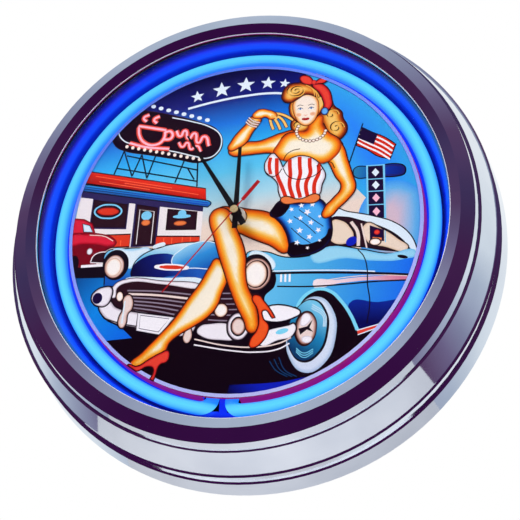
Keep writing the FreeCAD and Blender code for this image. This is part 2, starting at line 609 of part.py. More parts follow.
def rear_pieces():
    """The rear cover with its hatch, hanger, bumpers, power inlet and lamp switch."""
    disc = cylinder("cover_disc", COVER_RADIUS, "sizes.cover_thickness", 0, 0, RIM)
    wall = 1.5
    half_pocket = "sizes.pocket_width / 2"
    left, right = f"sizes.socket_x - {half_pocket}", f"sizes.socket_x + {half_pocket}"
    low = "sizes.socket_y - sizes.pocket_length"
    deep = f"{RIM} + sizes.pocket_depth"
    pocket_shell = box("pocket_shell", (f"{left} - {wall}", f"{right} + {wall}"),
                       (f"{low} - {wall}", f"sizes.socket_y + {wall}"), (RIM, f"{deep} + {wall}"))
    ears = [box(f"hinge_ear_{name}", span, (f"{HINGE_Y} - {HINGE_Z}", f"{HINGE_Y} + {HINGE_Z}"),
                ("0.2", RIM)) for name, span in HINGE_EARS.items()]
    solid = join("cover_joined", [disc, pocket_shell] + ears)

    through = (f"({RIM} - 1)", f"({COVER_INSIDE} + 1)")
    removed = [
        box("hatch_opening", (f"-{HATCH_HALF}", HATCH_HALF),
            (f"sizes.hatch_middle - {HATCH_HALF}", f"sizes.hatch_middle + {HATCH_HALF}"), through),
        box("pocket_room", (left, right), (low, "sizes.socket_y"), (f"{RIM} - 1", deep)),
        turned_along_y("jack_hole", "sizes.jack_radius",
                       ("sizes.socket_y - 1", f"sizes.socket_y + {wall} + 1"),
                       "sizes.socket_x", JACK_HEIGHT),
        box("switch_opening", (f"sizes.socket_x - {SWITCH_BODY_HALF_X}",
                               f"sizes.socket_x + {SWITCH_BODY_HALF_X}"),
            (f"sizes.switch_y - {SWITCH_BODY_HALF_Y}", f"sizes.switch_y + {SWITCH_BODY_HALF_Y}"),
            through),
        turned_along_x("ear_bore", "sizes.door_pin_radius", (f"-{DOOR_HALF}", DOOR_HALF),
                       HINGE_Y, HINGE_Z),
    ]
    removed += keyhole("cover_keyhole", "1", through)
    for count in range(4):
        lift = 126 + 8 * count
        removed.append(box(f"vent_{count}", ("-34", "34"), (f"-{lift + 4}", f"-{lift}"), through))
    screws = []
    for count in range(6):
        at_x, at_y = around(SCREW_RING, 30 + 60 * count)
        removed.append(cylinder(f"cover_hole_{count}", "sizes.cover_screw_radius + sizes.fit_gap",
                                "sizes.cover_thickness + 2", at_x, at_y, f"{RIM} - 1"))
        screws.append(screw(f"cover_screw_{count}", "sizes.cover_screw_radius",
                            "sizes.cover_thickness + 8", at_x, at_y, RIM))
    for count, at_x in enumerate(RIVET_X):
        removed.append(cylinder(f"rivet_hole_{count}", "sizes.rivet_radius",
                                "sizes.cover_thickness + 2", at_x, "sizes.hanger_height",
                                f"{RIM} - 1"))
    stand(cut("rear_cover", solid, join("cover_openings", removed)), "rear_cover")
    stand(group("cover_screws", screws), "cover_screws")

    bumpers = []
    for count in range(4):
        at_x, at_y = around("sizes.bumper_ring", 45 + 90 * count)
        bumpers.append(cylinder(f"bumper_{count}", "sizes.bumper_radius", RIM, at_x, at_y, 0))
    stand(group("wall_bumpers", bumpers), "wall_bumpers")
    hanger_pieces()
    door_pieces()
    power_pieces()


HINGE_EARS = {
    "left": (f"-({HATCH_HALF} + 4)", f"-({HATCH_HALF} + 4 - sizes.hinge_ear)"),
    "right": (f"{HATCH_HALF} + 4 - sizes.hinge_ear", f"{HATCH_HALF} + 4"),
}
BARREL_HALF = f"({HATCH_HALF} + 4 - sizes.hinge_ear - sizes.hinge_gap)"
JACK_HEIGHT = f"({RIM} + sizes.pocket_depth / 2)"
SWITCH_BODY_HALF_X = "(sizes.switch_width / 2)"
SWITCH_BODY_HALF_Y = "(sizes.switch_length / 2)"
RIVET_X = ("-(sizes.hanger_width / 2 - 7)", "sizes.hanger_width / 2 - 7")


def keyhole(name, ease, span):
    """The tools that cut a keyhole: a round entry with a narrower slot above it."""
    low = "(sizes.hanger_height - sizes.keyhole_travel / 2)"
    slot = f"(sizes.keyhole_slot_radius + {ease})"
    height = f"{span[1]} - ({span[0]})"
    return [
        cylinder(name + "_entry", f"sizes.keyhole_radius + {ease}", height, 0, low, span[0]),
        box(name + "_slot", (f"-{slot}", slot), (low, f"{low} + sizes.keyhole_travel"), span),
        cylinder(name + "_end", slot, height, 0, f"{low} + sizes.keyhole_travel", span[0]),
    ]


def hanger_pieces():
    """The steel keyhole plate inside the cover and the rivets that hold it."""
    front = f"({COVER_INSIDE} + sizes.hanger_thickness)"
    half_length = "sizes.hanger_length / 2"
    plate = box("hanger_blank", ("-sizes.hanger_width / 2", "sizes.hanger_width / 2"),
                (f"sizes.hanger_height - {half_length}", f"sizes.hanger_height + {half_length}"),
                (COVER_INSIDE, front))
    removed = keyhole("hanger_keyhole", "0", (f"{COVER_INSIDE} - 1", f"{front} + 1"))
    rivets = []
    for count, at_x in enumerate(RIVET_X):
        removed.append(cylinder(f"hanger_hole_{count}", "sizes.rivet_radius",
                                "sizes.hanger_thickness + 2", at_x, "sizes.hanger_height",
                                f"{COVER_INSIDE} - 1"))
        head = "sizes.rivet_radius + 1.6"
        rivets.append(join(f"rivet_{count}", [
            cylinder(f"rivet_head_{count}", head, 1, at_x, "sizes.hanger_height", f"{RIM} - 1"),
            cylinder(f"rivet_shank_{count}", "sizes.rivet_radius",
                     "sizes.cover_thickness + sizes.hanger_thickness", at_x,
                     "sizes.hanger_height", RIM),
            cylinder(f"rivet_tail_{count}", head, 1, at_x, "sizes.hanger_height", front)]))
    stand(cut("hanger_plate", plate, join("hanger_openings", removed)), "hanger_plate")
    stand(group("hanger_rivets", rivets), "hanger_rivets")


def door_pieces():
    """The movement door with its hinge barrel and catch, and the hinge pin."""
    top = f"sizes.hatch_middle + {DOOR_HALF}"
    bottom = f"sizes.hatch_middle - {DOOR_HALF}"
    edge = f"sizes.hatch_middle + {HATCH_HALF} - sizes.fit_gap"
    solid = join("door_joined", [
        box("door_plate", (f"-{DOOR_HALF}", DOOR_HALF), (f"{bottom} + 4", top), ("0", RIM)),
        box("door_strip", (f"-{BARREL_HALF}", BARREL_HALF), (HINGE_Y, f"{bottom} + 4"),
            ("0.2", f"{RIM} - 0.2")),
        turned_along_x("door_barrel", f"{HINGE_Z} - 0.2", (f"-{BARREL_HALF}", BARREL_HALF),
                       HINGE_Y, HINGE_Z),
        box("door_catch", ("-8", "8"), (f"{edge} - 1.5", edge), (RIM, f"{COVER_INSIDE} + 1.5")),
    ])
    removed = join("door_cuts", [
        turned_along_x("barrel_bore", "sizes.door_pin_radius + sizes.running_gap",
                       (f"-{DOOR_HALF}", DOOR_HALF), HINGE_Y, HINGE_Z),
        box("finger_notch", ("-12", "12"), (f"{top} - 4", f"{top} + 1"), ("-1", "1.6")),
    ])
    stand(cut("movement_door", solid, removed), "movement_door")
    pin_end = HINGE_EARS["right"][1]
    stand(turned_along_x("door_hinge_pin", "sizes.door_pin_radius", (f"-({pin_end})", pin_end),
                         HINGE_Y, HINGE_Z), "door_hinge_pin")


def power_pieces():
    """The power inlet, the rocker switch and the low-voltage leads."""
    wall = 1.5
    inlet = "sizes.socket_y"
    body_half = "(sizes.jack_radius + 0.5)"
    jack = join("jack_joined", [
        turned_along_y("jack_flange", "sizes.jack_radius + 1.5", (f"{inlet} - 1.2", inlet),
                       "sizes.socket_x", JACK_HEIGHT),
        turned_along_y("jack_barrel", "sizes.jack_radius", (inlet, f"{inlet} + {wall}"),
                       "sizes.socket_x", JACK_HEIGHT),
        box("jack_body", (f"sizes.socket_x - {body_half}", f"sizes.socket_x + {body_half}"),
            (f"{inlet} + {wall}", f"{inlet} + {wall} + 12"),
            (f"{JACK_HEIGHT} - {body_half}", f"{JACK_HEIGHT} + {body_half}")),
    ])
    bored = cut("jack_bored", jack, turned_along_y(
        "jack_bore", "sizes.jack_bore", (f"{inlet} - 2", f"{inlet} + 8"),
        "sizes.socket_x", JACK_HEIGHT))
    contact = turned_along_y("jack_contact", "sizes.jack_pin", (f"{inlet} - 0.5", f"{inlet} + 9"),
                             "sizes.socket_x", JACK_HEIGHT)
    stand(join("dc_jack", [bored, contact]), "dc_jack")

    middle_x, middle_y = "sizes.socket_x", "sizes.switch_y"
    pivot_height = f"({RIM} + sizes.rocker_radius / 2 - 0.4)"
    rocker_half = f"({SWITCH_BODY_HALF_X} - 1.7)"
    room_half = f"({rocker_half} + 0.2)"
    swing = "(sizes.rocker_radius + 0.2)"
    body = join("switch_joined", [
        box("switch_rim", (f"{middle_x} - {SWITCH_BODY_HALF_X} - 1.5",
                           f"{middle_x} + {SWITCH_BODY_HALF_X} + 1.5"),
            (f"{middle_y} - {SWITCH_BODY_HALF_Y} - 1.5", f"{middle_y} + {SWITCH_BODY_HALF_Y} + 1.5"),
            (f"{RIM} - sizes.switch_rim", RIM)),
        box("switch_block", (f"{middle_x} - {SWITCH_BODY_HALF_X}", f"{middle_x} + {SWITCH_BODY_HALF_X}"),
            (f"{middle_y} - {SWITCH_BODY_HALF_Y}", f"{middle_y} + {SWITCH_BODY_HALF_Y}"),
            (RIM, f"{RIM} + sizes.switch_depth")),
    ])
    hollow = join("switch_hollow", [
        box("rocker_room", (f"{middle_x} - {room_half}", f"{middle_x} + {room_half}"),
            (f"{middle_y} - {swing}", f"{middle_y} + {swing}"),
            ("0", f"{pivot_height} + {swing}")),
        turned_along_x("pivot_sockets", "sizes.rocker_pin + sizes.running_gap",
                       (f"{middle_x} - {room_half} - 1", f"{middle_x} + {room_half} + 1"),
                       middle_y, pivot_height),
    ])
    stand(cut("switch_body", body, hollow), "switch_body")

    drum = turned_along_x("rocker_drum", "sizes.rocker_radius",
                          (f"{middle_x} - {rocker_half}", f"{middle_x} + {rocker_half}"),
                          middle_y, pivot_height)
    removed = []
    for name, lean in (("low", -1), ("high", 1)):
        face = doc.addObject("Part::Box", f"rocker_face_{name}")
        bind(face, Length="sizes.switch_width + 2", Width="30", Height="10")
        face.Placement = Placement(Vector(0, 0, 0), Rotation(Vector(1, 0, 0), ROCKER_TILT))
        removed.append(face)
    turn = math.radians(ROCKER_TILT)
    depth = "(sizes.rocker_radius * 0.54)"
    for face, shift in zip(removed, (-30, 0)):
        offset_y = f"({shift} * {math.cos(turn)} + ({depth} + 10) * {math.sin(turn)})"
        offset_z = f"({shift} * {math.sin(turn)} - ({depth} + 10) * {math.cos(turn)})"
        put(face, f"{middle_x} - sizes.switch_width / 2 - 1", f"{middle_y} + {offset_y}",
            f"{pivot_height} + {offset_z}")
    trimmed = cut("rocker_trimmed", drum, join("rocker_faces", removed))
    axle = turned_along_x("rocker_axle", "sizes.rocker_pin",
                          (f"{middle_x} - {rocker_half} - 0.9", f"{middle_x} + {rocker_half} + 0.9"),
                          middle_y, pivot_height)
    stand(join("switch_rocker", [trimmed, axle]), "switch_rocker")

    jack_back = value(f"{inlet} + {wall} + 12")
    jack_z = value(JACK_HEIGHT)
    jack_x = value(middle_x)
    switch_low = value(f"{middle_y} - {SWITCH_BODY_HALF_Y}")
    switch_left = value(f"{middle_x} - {SWITCH_BODY_HALF_X}")
    entry_x = value("sizes.inverter_width / 2") - 4
    entry_z = value(LOW_LEAD_HEIGHT)
    radius = value("sizes.low_lead_radius")
    near, far = (value(f"sizes.inverter_top - {drop}") for drop in LOW_LEAD_DROPS)
    leads = [
        [Vector(jack_x + 2, jack_back, jack_z), Vector(jack_x + 2, switch_low, jack_z)],
        [Vector(jack_x - 2, jack_back, jack_z), Vector(jack_x - 2, far, jack_z),
         Vector(jack_x - 36, far, entry_z), Vector(entry_x, far, entry_z)],
        [Vector(switch_left, value(middle_y), 10), Vector(switch_left - 12, value(middle_y), 10),
         Vector(jack_x - 36, near, entry_z), Vector(entry_x, near, entry_z)],
    ]
    stand(shaped("low_voltage_leads", Part.makeCompound(
        [pipe(route(points, 7), radius) for points in leads])), "low_voltage_leads")


ROCKER_TILT = 12
CELL_Y = "(sizes.movement_wall + sizes.cell_radius + sizes.fit_gap - sizes.movement_fall)"
CELL_Z = f"({PLATE_FRONT} - sizes.fit_gap - sizes.cell_radius)"
PARTITION = f"({CELL_Y} + sizes.cell_radius + sizes.fit_gap)"


def ring_spot(distance, bearing, start=(0.0, 0.0)):
    """The point at a distance from start; the bearing is anticlockwise from the right."""
    turn = math.radians(bearing)
    return start[0] + distance * math.cos(turn), start[1] + distance * math.sin(turn)


# teeth of each wheel and of the pinion it drives
ROTOR_PINION, FIFTH_WHEEL, FIFTH_PINION, SECOND_WHEEL = 10, 50, 10, 60
SECOND_PINION, THIRD_WHEEL, THIRD_PINION, CENTRE_WHEEL = 8, 60, 8, 64
CANNON_PINION, MOTION_WHEEL, MOTION_PINION, HOUR_WHEEL, SETTING_WHEEL = 12, 36, 10, 40, 18
# back and front of each toothed piece and of the magnet, above the inside of the movement's back
LEVELS = {
    "rotor_pinion": (1.3, 2.6), "fifth_wheel": (1.6, 2.2), "fifth_pinion": (3.1, 4.6),
    "rotor_magnet": (3.4, 6.4), "second_wheel": (3.6, 4.3), "second_pinion": (5.4, 7.2),
    "third_wheel": (6.0, 6.7), "third_pinion": (7.7, 9.4), "minute_pipe": (7.8, 7.8),
    "centre_wheel": (8.2, 8.9), "cannon_pinion": (10.0, 12.2), "setting_wheel": (10.6, 11.8),
    "motion_wheel": (10.8, 11.6), "motion_pinion": (11.6, 13.4), "hour_wheel": (12.7, 13.4),
}
PIVOT_BACK, PIVOT_FRONT = 0.9, 0.8      # how far an arbor reaches into the back and the front
# bearing of each arbor from the arbor that it meshes with
THIRD_BEARING, FIFTH_BEARING, ROTOR_BEARING, MOTION_BEARING, SETTING_BEARING = 180, 60, -15, -90, -150


def gear(module, teeth, low, high, spot, bearing, gap_there=False):
    """A wheel with straight-sided teeth; a tooth, or a gap, points along bearing."""
    pitch = module * teeth / 2
    root, tip = pitch - 1.15 * module, pitch + 0.8 * module
    step = 2 * math.pi / teeth
    first = math.radians(bearing) + (step / 2 if gap_there else 0)
    corners = []
    for count in range(teeth):
        centre = first + count * step
        for radius, share in ((root, -0.3), (tip, -0.1), (tip, 0.1), (root, 0.3)):
            turn = centre + share * step
            corners.append(Vector(spot[0] + radius * math.cos(turn),
                                  spot[1] + radius * math.sin(turn), low))
    face = Part.Face(Part.makePolygon(corners + corners[:1]))
    return face.extrude(Vector(0, 0, high - low))


def level(name):
    """The back and front heights of a toothed piece."""
    low = value(PLATE_BACK)
    back, front = LEVELS[name]
    return low + back, low + front


def bar(radius, low, high, spot):
    return Part.makeCylinder(radius, high - low, Vector(spot[0], spot[1], low), Vector(0, 0, 1))


def train_layout():
    """The arbors' places and the modules that fit the coaxial wheels to one centre distance."""
    train, motion = value("sizes.train_module"), value("sizes.motion_module")
    rotor = value("sizes.rotor_module")
    third_away = train * (THIRD_PINION + CENTRE_WHEEL) / 2
    second_module = 2 * third_away / (SECOND_PINION + THIRD_WHEEL)
    fifth_module = train * 16 / 15
    fifth_away = fifth_module * (FIFTH_PINION + SECOND_WHEEL) / 2
    motion_away = motion * (CANNON_PINION + MOTION_WHEEL) / 2
    hour_module = 2 * motion_away / (MOTION_PINION + HOUR_WHEEL)
    fifth = ring_spot(fifth_away, FIFTH_BEARING)
    motion_spot = ring_spot(motion_away, MOTION_BEARING)
    return {
        "third": ring_spot(third_away, THIRD_BEARING), "fifth": fifth,
        "rotor": ring_spot(rotor * (ROTOR_PINION + FIFTH_WHEEL) / 2, ROTOR_BEARING, fifth),
        "motion": motion_spot,
        "setting": ring_spot(motion * (MOTION_WHEEL + SETTING_WHEEL) / 2, SETTING_BEARING, motion_spot),
        "train": train, "second_module": second_module, "fifth_module": fifth_module,
        "rotor_module": rotor, "motion_module": motion, "hour_module": hour_module,
    }


def train_pieces():
    """The wheels of the going train and of the motion work, each with its arbor or pipe."""
    lay = train_layout()
    low, high = value(PLATE_BACK), value(PLATE_FRONT)
    back, front = low - PIVOT_BACK, high + PIVOT_FRONT
    pivot, gap = value("sizes.pivot"), value("sizes.running_gap")
    here = (0.0, 0.0)

    rotor = lay["rotor"]
    pinion = gear(lay["rotor_module"], ROTOR_PINION, *level("rotor_pinion"), rotor, ROTOR_BEARING + 180, True)
    stand(shaped("rotor_pinion", pinion.fuse(bar(pivot, back, front, rotor))), "rotor_pinion")
    magnet = bar(value("sizes.magnet_radius"), *level("rotor_magnet"), rotor)
    stand(shaped("rotor_magnet", magnet.cut(bar(pivot, back, front, rotor))), "rotor_magnet")

    fifth = lay["fifth"]
    wheel = gear(lay["rotor_module"], FIFTH_WHEEL, *level("fifth_wheel"), fifth, ROTOR_BEARING)
    pinion = gear(lay["fifth_module"], FIFTH_PINION, *level("fifth_pinion"), fifth, FIFTH_BEARING + 180, True)
    stand(shaped("fifth_wheel", fused([wheel, pinion, bar(pivot, back, front, fifth)])), "fifth_wheel")

    top = value(f"{DIAL_FACE} + sizes.second_hand_rise + sizes.hand_thickness")
    wheel = gear(lay["fifth_module"], SECOND_WHEEL, *level("second_wheel"), here, FIFTH_BEARING)
    pinion = gear(lay["second_module"], SECOND_PINION, *level("second_pinion"), here, THIRD_BEARING, True)
    arbor = bar(value("sizes.second_arbor"), back, top, here)
    stand(shaped("second_wheel", fused([wheel, pinion, arbor])), "second_wheel")

    third = lay["third"]
    wheel = gear(lay["second_module"], THIRD_WHEEL, *level("third_wheel"), third, THIRD_BEARING + 180)
    pinion = gear(lay["train"], THIRD_PINION, *level("third_pinion"), third, THIRD_BEARING + 180, True)
    stand(shaped("third_wheel", fused([wheel, pinion, bar(pivot, back, front, third)])), "third_wheel")

    top = value(f"{DIAL_FACE} + sizes.minute_hand_rise + sizes.hand_thickness + 0.1")
    wheel = gear(lay["train"], CENTRE_WHEEL, *level("centre_wheel"), here, THIRD_BEARING)
    pinion = gear(lay["motion_module"], CANNON_PINION, *level("cannon_pinion"), here, MOTION_BEARING, True)
    pipe_low = level("minute_pipe")[0]
    centre = fused([wheel, pinion, bar(value("sizes.minute_pipe"), pipe_low, top, here)])
    centre = centre.cut(bar(value("sizes.second_arbor") + gap, pipe_low - 1, top + 1, here))
    stand(shaped("centre_wheel", centre), "centre_wheel")

    motion = lay["motion"]
    wheel = gear(lay["motion_module"], MOTION_WHEEL, *level("motion_wheel"), motion, MOTION_BEARING + 180)
    pinion = gear(lay["hour_module"], MOTION_PINION, *level("motion_pinion"), motion,
                  MOTION_BEARING + 180, True)
    bored = wheel.fuse(pinion).cut(bar(pivot + gap, low, high, motion))
    stand(shaped("motion_wheel", bored), "motion_wheel")

    top = value(f"{DIAL_FACE} + sizes.hour_hand_rise + sizes.hand_thickness + 0.1")
    wheel = gear(lay["hour_module"], HOUR_WHEEL, *level("hour_wheel"), here, MOTION_BEARING)
    hour = wheel.fuse(bar(value("sizes.hour_pipe"), level("hour_wheel")[0], top, here))
    hour = hour.cut(bar(value("sizes.minute_pipe") + gap, low, top + 1, here))
    stand(shaped("hour_wheel", hour), "hour_wheel")

    setting = lay["setting"]
    knob_front = value(CASE_BACK) - 0.4
    knob_back = knob_front - value("sizes.knob_height")
    wheel = gear(lay["motion_module"], SETTING_WHEEL, *level("setting_wheel"), setting,
                 SETTING_BEARING + 180, True)
    knob = bar(value("sizes.knob_radius"), knob_back, knob_front, setting)
    for count in range(16):
        spot = ring_spot(value("sizes.knob_radius"), 22.5 * count, setting)
        knob = knob.cut(bar(0.5, knob_back - 1, knob_front + 1, spot))
    shaft = bar(pivot + 0.3, knob_front, high - 0.4, setting)
    stand(shaped("setting_knob", fused([wheel, shaft, knob])), "setting_knob")


def fused(shapes):
    whole = shapes[0]
    for shape in shapes[1:]:
        whole = whole.fuse(shape)
    return whole


def movement_pieces():
    """The movement's case, back, bush, seal, nut, motor, board, battery and contacts."""
    lay = train_layout()
    half = "(sizes.movement_width / 2)"
    wall = "sizes.movement_wall"
    inner = f"({half} - {wall})"
    pivot_hole = "sizes.pivot + sizes.running_gap"
    block = box("movement_block", (f"-{half}", half), ("-sizes.movement_fall", "sizes.movement_rise"),
                (CASE_BACK, CASE_FRONT))
    removed = [
        box("train_room", (f"-{inner}", inner), (f"{PARTITION} + 1", f"sizes.movement_rise - {wall}"),
            (f"{CASE_BACK} - 1", PLATE_FRONT)),
        box("cell_room", (f"-{inner}", inner), (f"{wall} - sizes.movement_fall", PARTITION),
            (f"{CASE_BACK} - 1", PLATE_FRONT)),
        cylinder("bush_hole", "sizes.bush_radius", f"{wall} + 2", 0, 0, f"{PLATE_FRONT} - 1"),
    ]
    for name in ("third", "fifth", "rotor"):
        removed.append(cylinder(f"{name}_front_hole", pivot_hole, "0.9", *lay[name], PLATE_FRONT))
    hollowed = cut("movement_hollow", block, join("movement_rooms", removed))
    stud = cylinder("motion_stud", "sizes.pivot", "3.1", *lay["motion"], f"{PLATE_FRONT} - 3.1")
    stand(join("movement_case", [hollowed, stud]), "movement_case")

    ease = "0.1"
    plate = box("back_blank", (f"-({inner} - {ease})", f"{inner} - {ease}"),
                (f"{PARTITION} + 1 + {ease}", f"sizes.movement_rise - {wall} - {ease}"),
                (CASE_BACK, PLATE_BACK))
    holes = [cylinder(f"{name}_back_hole", pivot_hole, f"{wall} + 2", *lay[name], f"{CASE_BACK} - 1")
             for name in ("third", "fifth", "rotor")]
    holes.append(cylinder("second_back_hole", "sizes.second_arbor + sizes.running_gap",
                          f"{wall} + 2", 0, 0, f"{CASE_BACK} - 1"))
    holes.append(cylinder("setting_hole", "sizes.pivot + 0.3 + sizes.running_gap", f"{wall} + 2",
                          *lay["setting"], f"{CASE_BACK} - 1"))
    stand(cut("movement_back", plate, join("back_holes", holes)), "movement_back")

    def ring(label, outside, inside, height, at_z):
        bored = cut(label, cylinder(label + "_disc", outside, height, 0, 0, at_z),
                    cylinder(label + "_bore", inside, f"{height} + 2", 0, 0, f"{at_z} - 1"))
        return stand(bored, label)

    ring("movement_bush", "sizes.bush_radius", "sizes.hour_pipe + sizes.running_gap",
         "sizes.bush_length", PLATE_FRONT)
    ring("movement_seal", "9", "sizes.bush_radius + 0.2", "sizes.seal_thickness", CASE_FRONT)
    ring("dial_washer", "sizes.washer_radius", "sizes.bush_radius + 0.1",
         "sizes.washer_thickness", DIAL_FACE)
    nut_low = f"({DIAL_FACE} + sizes.washer_thickness)"
    grips = [cylinder(f"nut_grip_{count}", "0.4", "sizes.nut_height + 2",
                      *around("sizes.nut_radius", 20 * count), f"{nut_low} - 1") for count in range(18)]
    grips.append(cylinder("nut_bore", "sizes.bush_radius", "sizes.nut_height + 2", 0, 0,
                          f"{nut_low} - 1"))
    stand(cut("centre_nut", cylinder("nut_disc", "sizes.nut_radius", "sizes.nut_height", 0, 0, nut_low),
              join("nut_cuts", grips)), "centre_nut")
    motor_pieces(lay)
    battery_pieces()


def motor_pieces(lay):
    """The stepping motor's stator, core and coil, and the board with its crystal."""
    rotor_x, rotor_y = lay["rotor"]
    stator_back = f"({PLATE_BACK} + 4.4)"
    stator_front = f"({stator_back} + 1)"
    low_leg, high_leg = ("-15.5", "-12"), ("13", "16.5")
    core_x = 22.9
    bars = join("stator_bars", [
        box("stator_side", (rotor_x - 4.3, rotor_x + 4.3), (low_leg[0], high_leg[1]),
            (stator_back, stator_front)),
        box("stator_top", (rotor_x - 4.3, core_x + 2), high_leg, (stator_back, stator_front)),
        box("stator_foot", (rotor_x - 4.3, core_x + 2), low_leg, (stator_back, stator_front)),
    ])
    eye = cylinder("stator_eye", "sizes.magnet_radius + 0.5", "3", rotor_x, rotor_y,
                   f"{stator_back} - 1")
    stand(cut("stator", bars, eye), "stator")
    stand(box("coil_core", (core_x - 2, core_x + 2), (low_leg[0], high_leg[1]),
              (stator_front, f"{stator_front} + 0.8")), "coil_core")
    middle_z = f"({stator_front} + 0.4)"
    half = "sizes.coil_length / 2"
    coil_y = 0.5
    winding = turned_along_y("coil_winding", "sizes.coil_radius - 0.6",
                             (f"{coil_y} - {half}", f"{coil_y} + {half}"), core_x, middle_z)
    flanges = [turned_along_y(f"coil_flange_{name}", "sizes.coil_radius", span, core_x, middle_z)
               for name, span in (("low", (f"{coil_y} - {half}", f"{coil_y} - {half} + 0.8")),
                                  ("high", (f"{coil_y} + {half} - 0.8", f"{coil_y} + {half}")))]
    bore = turned_along_y("coil_bore", "2.1", (f"{coil_y} - {half} - 1", f"{coil_y} + {half} + 1"),
                          core_x, middle_z)
    stand(cut("coil", join("coil_joined", [winding] + flanges), bore), "coil")

    board_low = f"({PLATE_FRONT} - 6)"
    stand(box("movement_board", ("-26.5", "-12"), ("-18.5", "-11"), (board_low, f"{board_low} + 1")),
          "movement_board")
    stand(turned_along_x("quartz_crystal", "1", ("-22", "-16"), -14, f"({board_low} - 1)"),
          "quartz_crystal")


def battery_pieces():
    half = "(sizes.cell_length / 2)"
    body = turned_along_x("cell_can", "sizes.cell_radius", (f"-{half} - 0.4", f"{half} - 0.4"),
                          CELL_Y, CELL_Z)
    nub = turned_along_x("cell_nub", "2.7", (f"{half} - 0.4", f"{half} - 0.4 + sizes.cell_nub"),
                         CELL_Y, CELL_Z)
    stand(join("battery", [body, nub]), "battery")
    plus = f"({half} - 0.4 + sizes.cell_nub + sizes.screw_gap)"
    minus = f"({half} + 0.4 + sizes.screw_gap)"
    span_y, span_z = (f"{CELL_Y} - 5", f"{CELL_Y} + 5"), (f"{CELL_Z} - 5", f"{CELL_Z} + 5")
    positive = box("plus_plate", (plus, f"{plus} + 0.5"), span_y, span_z)
    negative = join("minus_contact", [
        box("minus_plate", (f"-({minus} + 1.5)", f"-({minus} + 1)"), span_y, span_z),
        turned_along_x("minus_spring", "3", (f"-({minus} + 1)", f"-{minus}"), CELL_Y, CELL_Z)])
    stand(group("battery_contacts", [positive, negative]), "battery_contacts")


HOUR_ANGLE, MINUTE_ANGLE, SECOND_ANGLE = 0.7, 328.1, 218.3


def hand(label, angle, rise, outline_points, hub, bore, collet):
    """A flat hand turned clockwise from the top, with the collet that grips its pipe."""
    low = value(f"{DIAL_FACE} + {rise}")
    thick = value("sizes.hand_thickness")
    turn = Rotation(Vector(0, 0, 1), -angle)
    corners = [turn.multVec(Vector(x, y, 0)) + Vector(0, 0, low) for x, y in outline_points]
    blade = Part.Face(Part.makePolygon(corners + corners[:1])).extrude(Vector(0, 0, thick))
    here = (0.0, 0.0)
    whole = fused([blade, bar(hub, low, low + thick, here), bar(hub - 0.9, low - collet, low, here)])
    stand(shaped(label, whole.cut(bar(bore, low - collet - 1, low + thick + 1, here))), label)


def tapered(length, tail, hub_width, tip_width):
    """A baton that narrows from the hub to its tip, with a square tail."""
    return [(-hub_width / 2, -tail), (hub_width / 2, -tail), (hub_width / 2, 0),
            (tip_width / 2, length), (-tip_width / 2, length), (-hub_width / 2, 0)]


def hand_pieces():
    tail = value("sizes.hand_tail")
    hand("hour_hand", HOUR_ANGLE, "sizes.hour_hand_rise",
         tapered(value("sizes.hour_length"), tail, value("sizes.hour_hub_width"),
                 value("sizes.hour_tip_width")), 4.3, value("sizes.hour_pipe"), 1.4)
    hand("minute_hand", MINUTE_ANGLE, "sizes.minute_hand_rise",
         tapered(value("sizes.minute_length"), tail, value("sizes.minute_hub_width"),
                 value("sizes.minute_tip_width")), 3.6, value("sizes.minute_pipe"), 1.3)
    thin, wide = value("sizes.second_width") / 2, value("sizes.counterweight_width") / 2
    reach = value("sizes.counterweight_reach")
    hand("second_hand", SECOND_ANGLE, "sizes.second_hand_rise",
         [(-wide, -reach), (wide, -reach), (wide, -reach / 3), (thin, -reach / 3),
          (thin, value("sizes.second_length")), (-thin, value("sizes.second_length")),
          (-thin, -reach / 3), (-wide, -reach / 3)], 2.6, value("sizes.second_arbor"), 1.2)
    cap_low = f"({DIAL_FACE} + sizes.second_hand_rise + sizes.hand_thickness)"
    stand(cylinder("hand_cap", "sizes.cap_radius", "sizes.cap_height", 0, 0, cap_low), "hand_cap")


case_pieces()
pan_and_dial()
light_pieces()
inverter_pieces()
rear_pieces()
movement_pieces()
train_pieces()
hand_pieces()
doc.recompute()

faulty = [item.Label for item in doc.Objects if {"Invalid", "Error"} & set(item.State)]
faulty += [piece.Label for piece in PIECES if piece.Shape.isNull() or not piece.Shape.isValid()]
if faulty:
    raise RuntimeError("not built: " + ", ".join(faulty))
for piece in PIECES:
    piece.Shape.exportStep(f"parts/{piece.Label}.step")
print(len(PIECES), "nodes,", sum(len(piece.Shape.Solids) for piece in PIECES), "solids")
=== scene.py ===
import bpy
import bmesh
import math
from mathutils import Matrix, Vector
from mathutils.geometry import delaunay_2d_cdt


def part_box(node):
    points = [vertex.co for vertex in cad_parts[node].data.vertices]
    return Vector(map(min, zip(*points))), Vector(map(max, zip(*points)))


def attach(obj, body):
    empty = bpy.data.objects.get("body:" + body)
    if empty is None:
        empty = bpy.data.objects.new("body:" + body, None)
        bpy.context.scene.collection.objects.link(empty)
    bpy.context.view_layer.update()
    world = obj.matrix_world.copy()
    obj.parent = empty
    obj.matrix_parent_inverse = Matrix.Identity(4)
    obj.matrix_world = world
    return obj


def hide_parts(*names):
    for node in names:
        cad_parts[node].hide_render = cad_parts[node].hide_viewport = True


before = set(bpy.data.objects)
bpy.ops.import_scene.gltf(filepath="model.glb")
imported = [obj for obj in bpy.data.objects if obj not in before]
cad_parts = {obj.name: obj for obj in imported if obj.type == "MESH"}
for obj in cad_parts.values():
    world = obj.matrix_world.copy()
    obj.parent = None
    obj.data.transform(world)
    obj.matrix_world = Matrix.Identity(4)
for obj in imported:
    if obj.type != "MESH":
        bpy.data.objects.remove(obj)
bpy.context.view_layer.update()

MM = 0.001
DIAL_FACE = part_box("dial_plate")[0].y       # the printed side of the dial looks towards -Y
INK = 0.002 * MM                            # one layer of print lies this far over the last
TUBE_RADIUS = 5 * MM
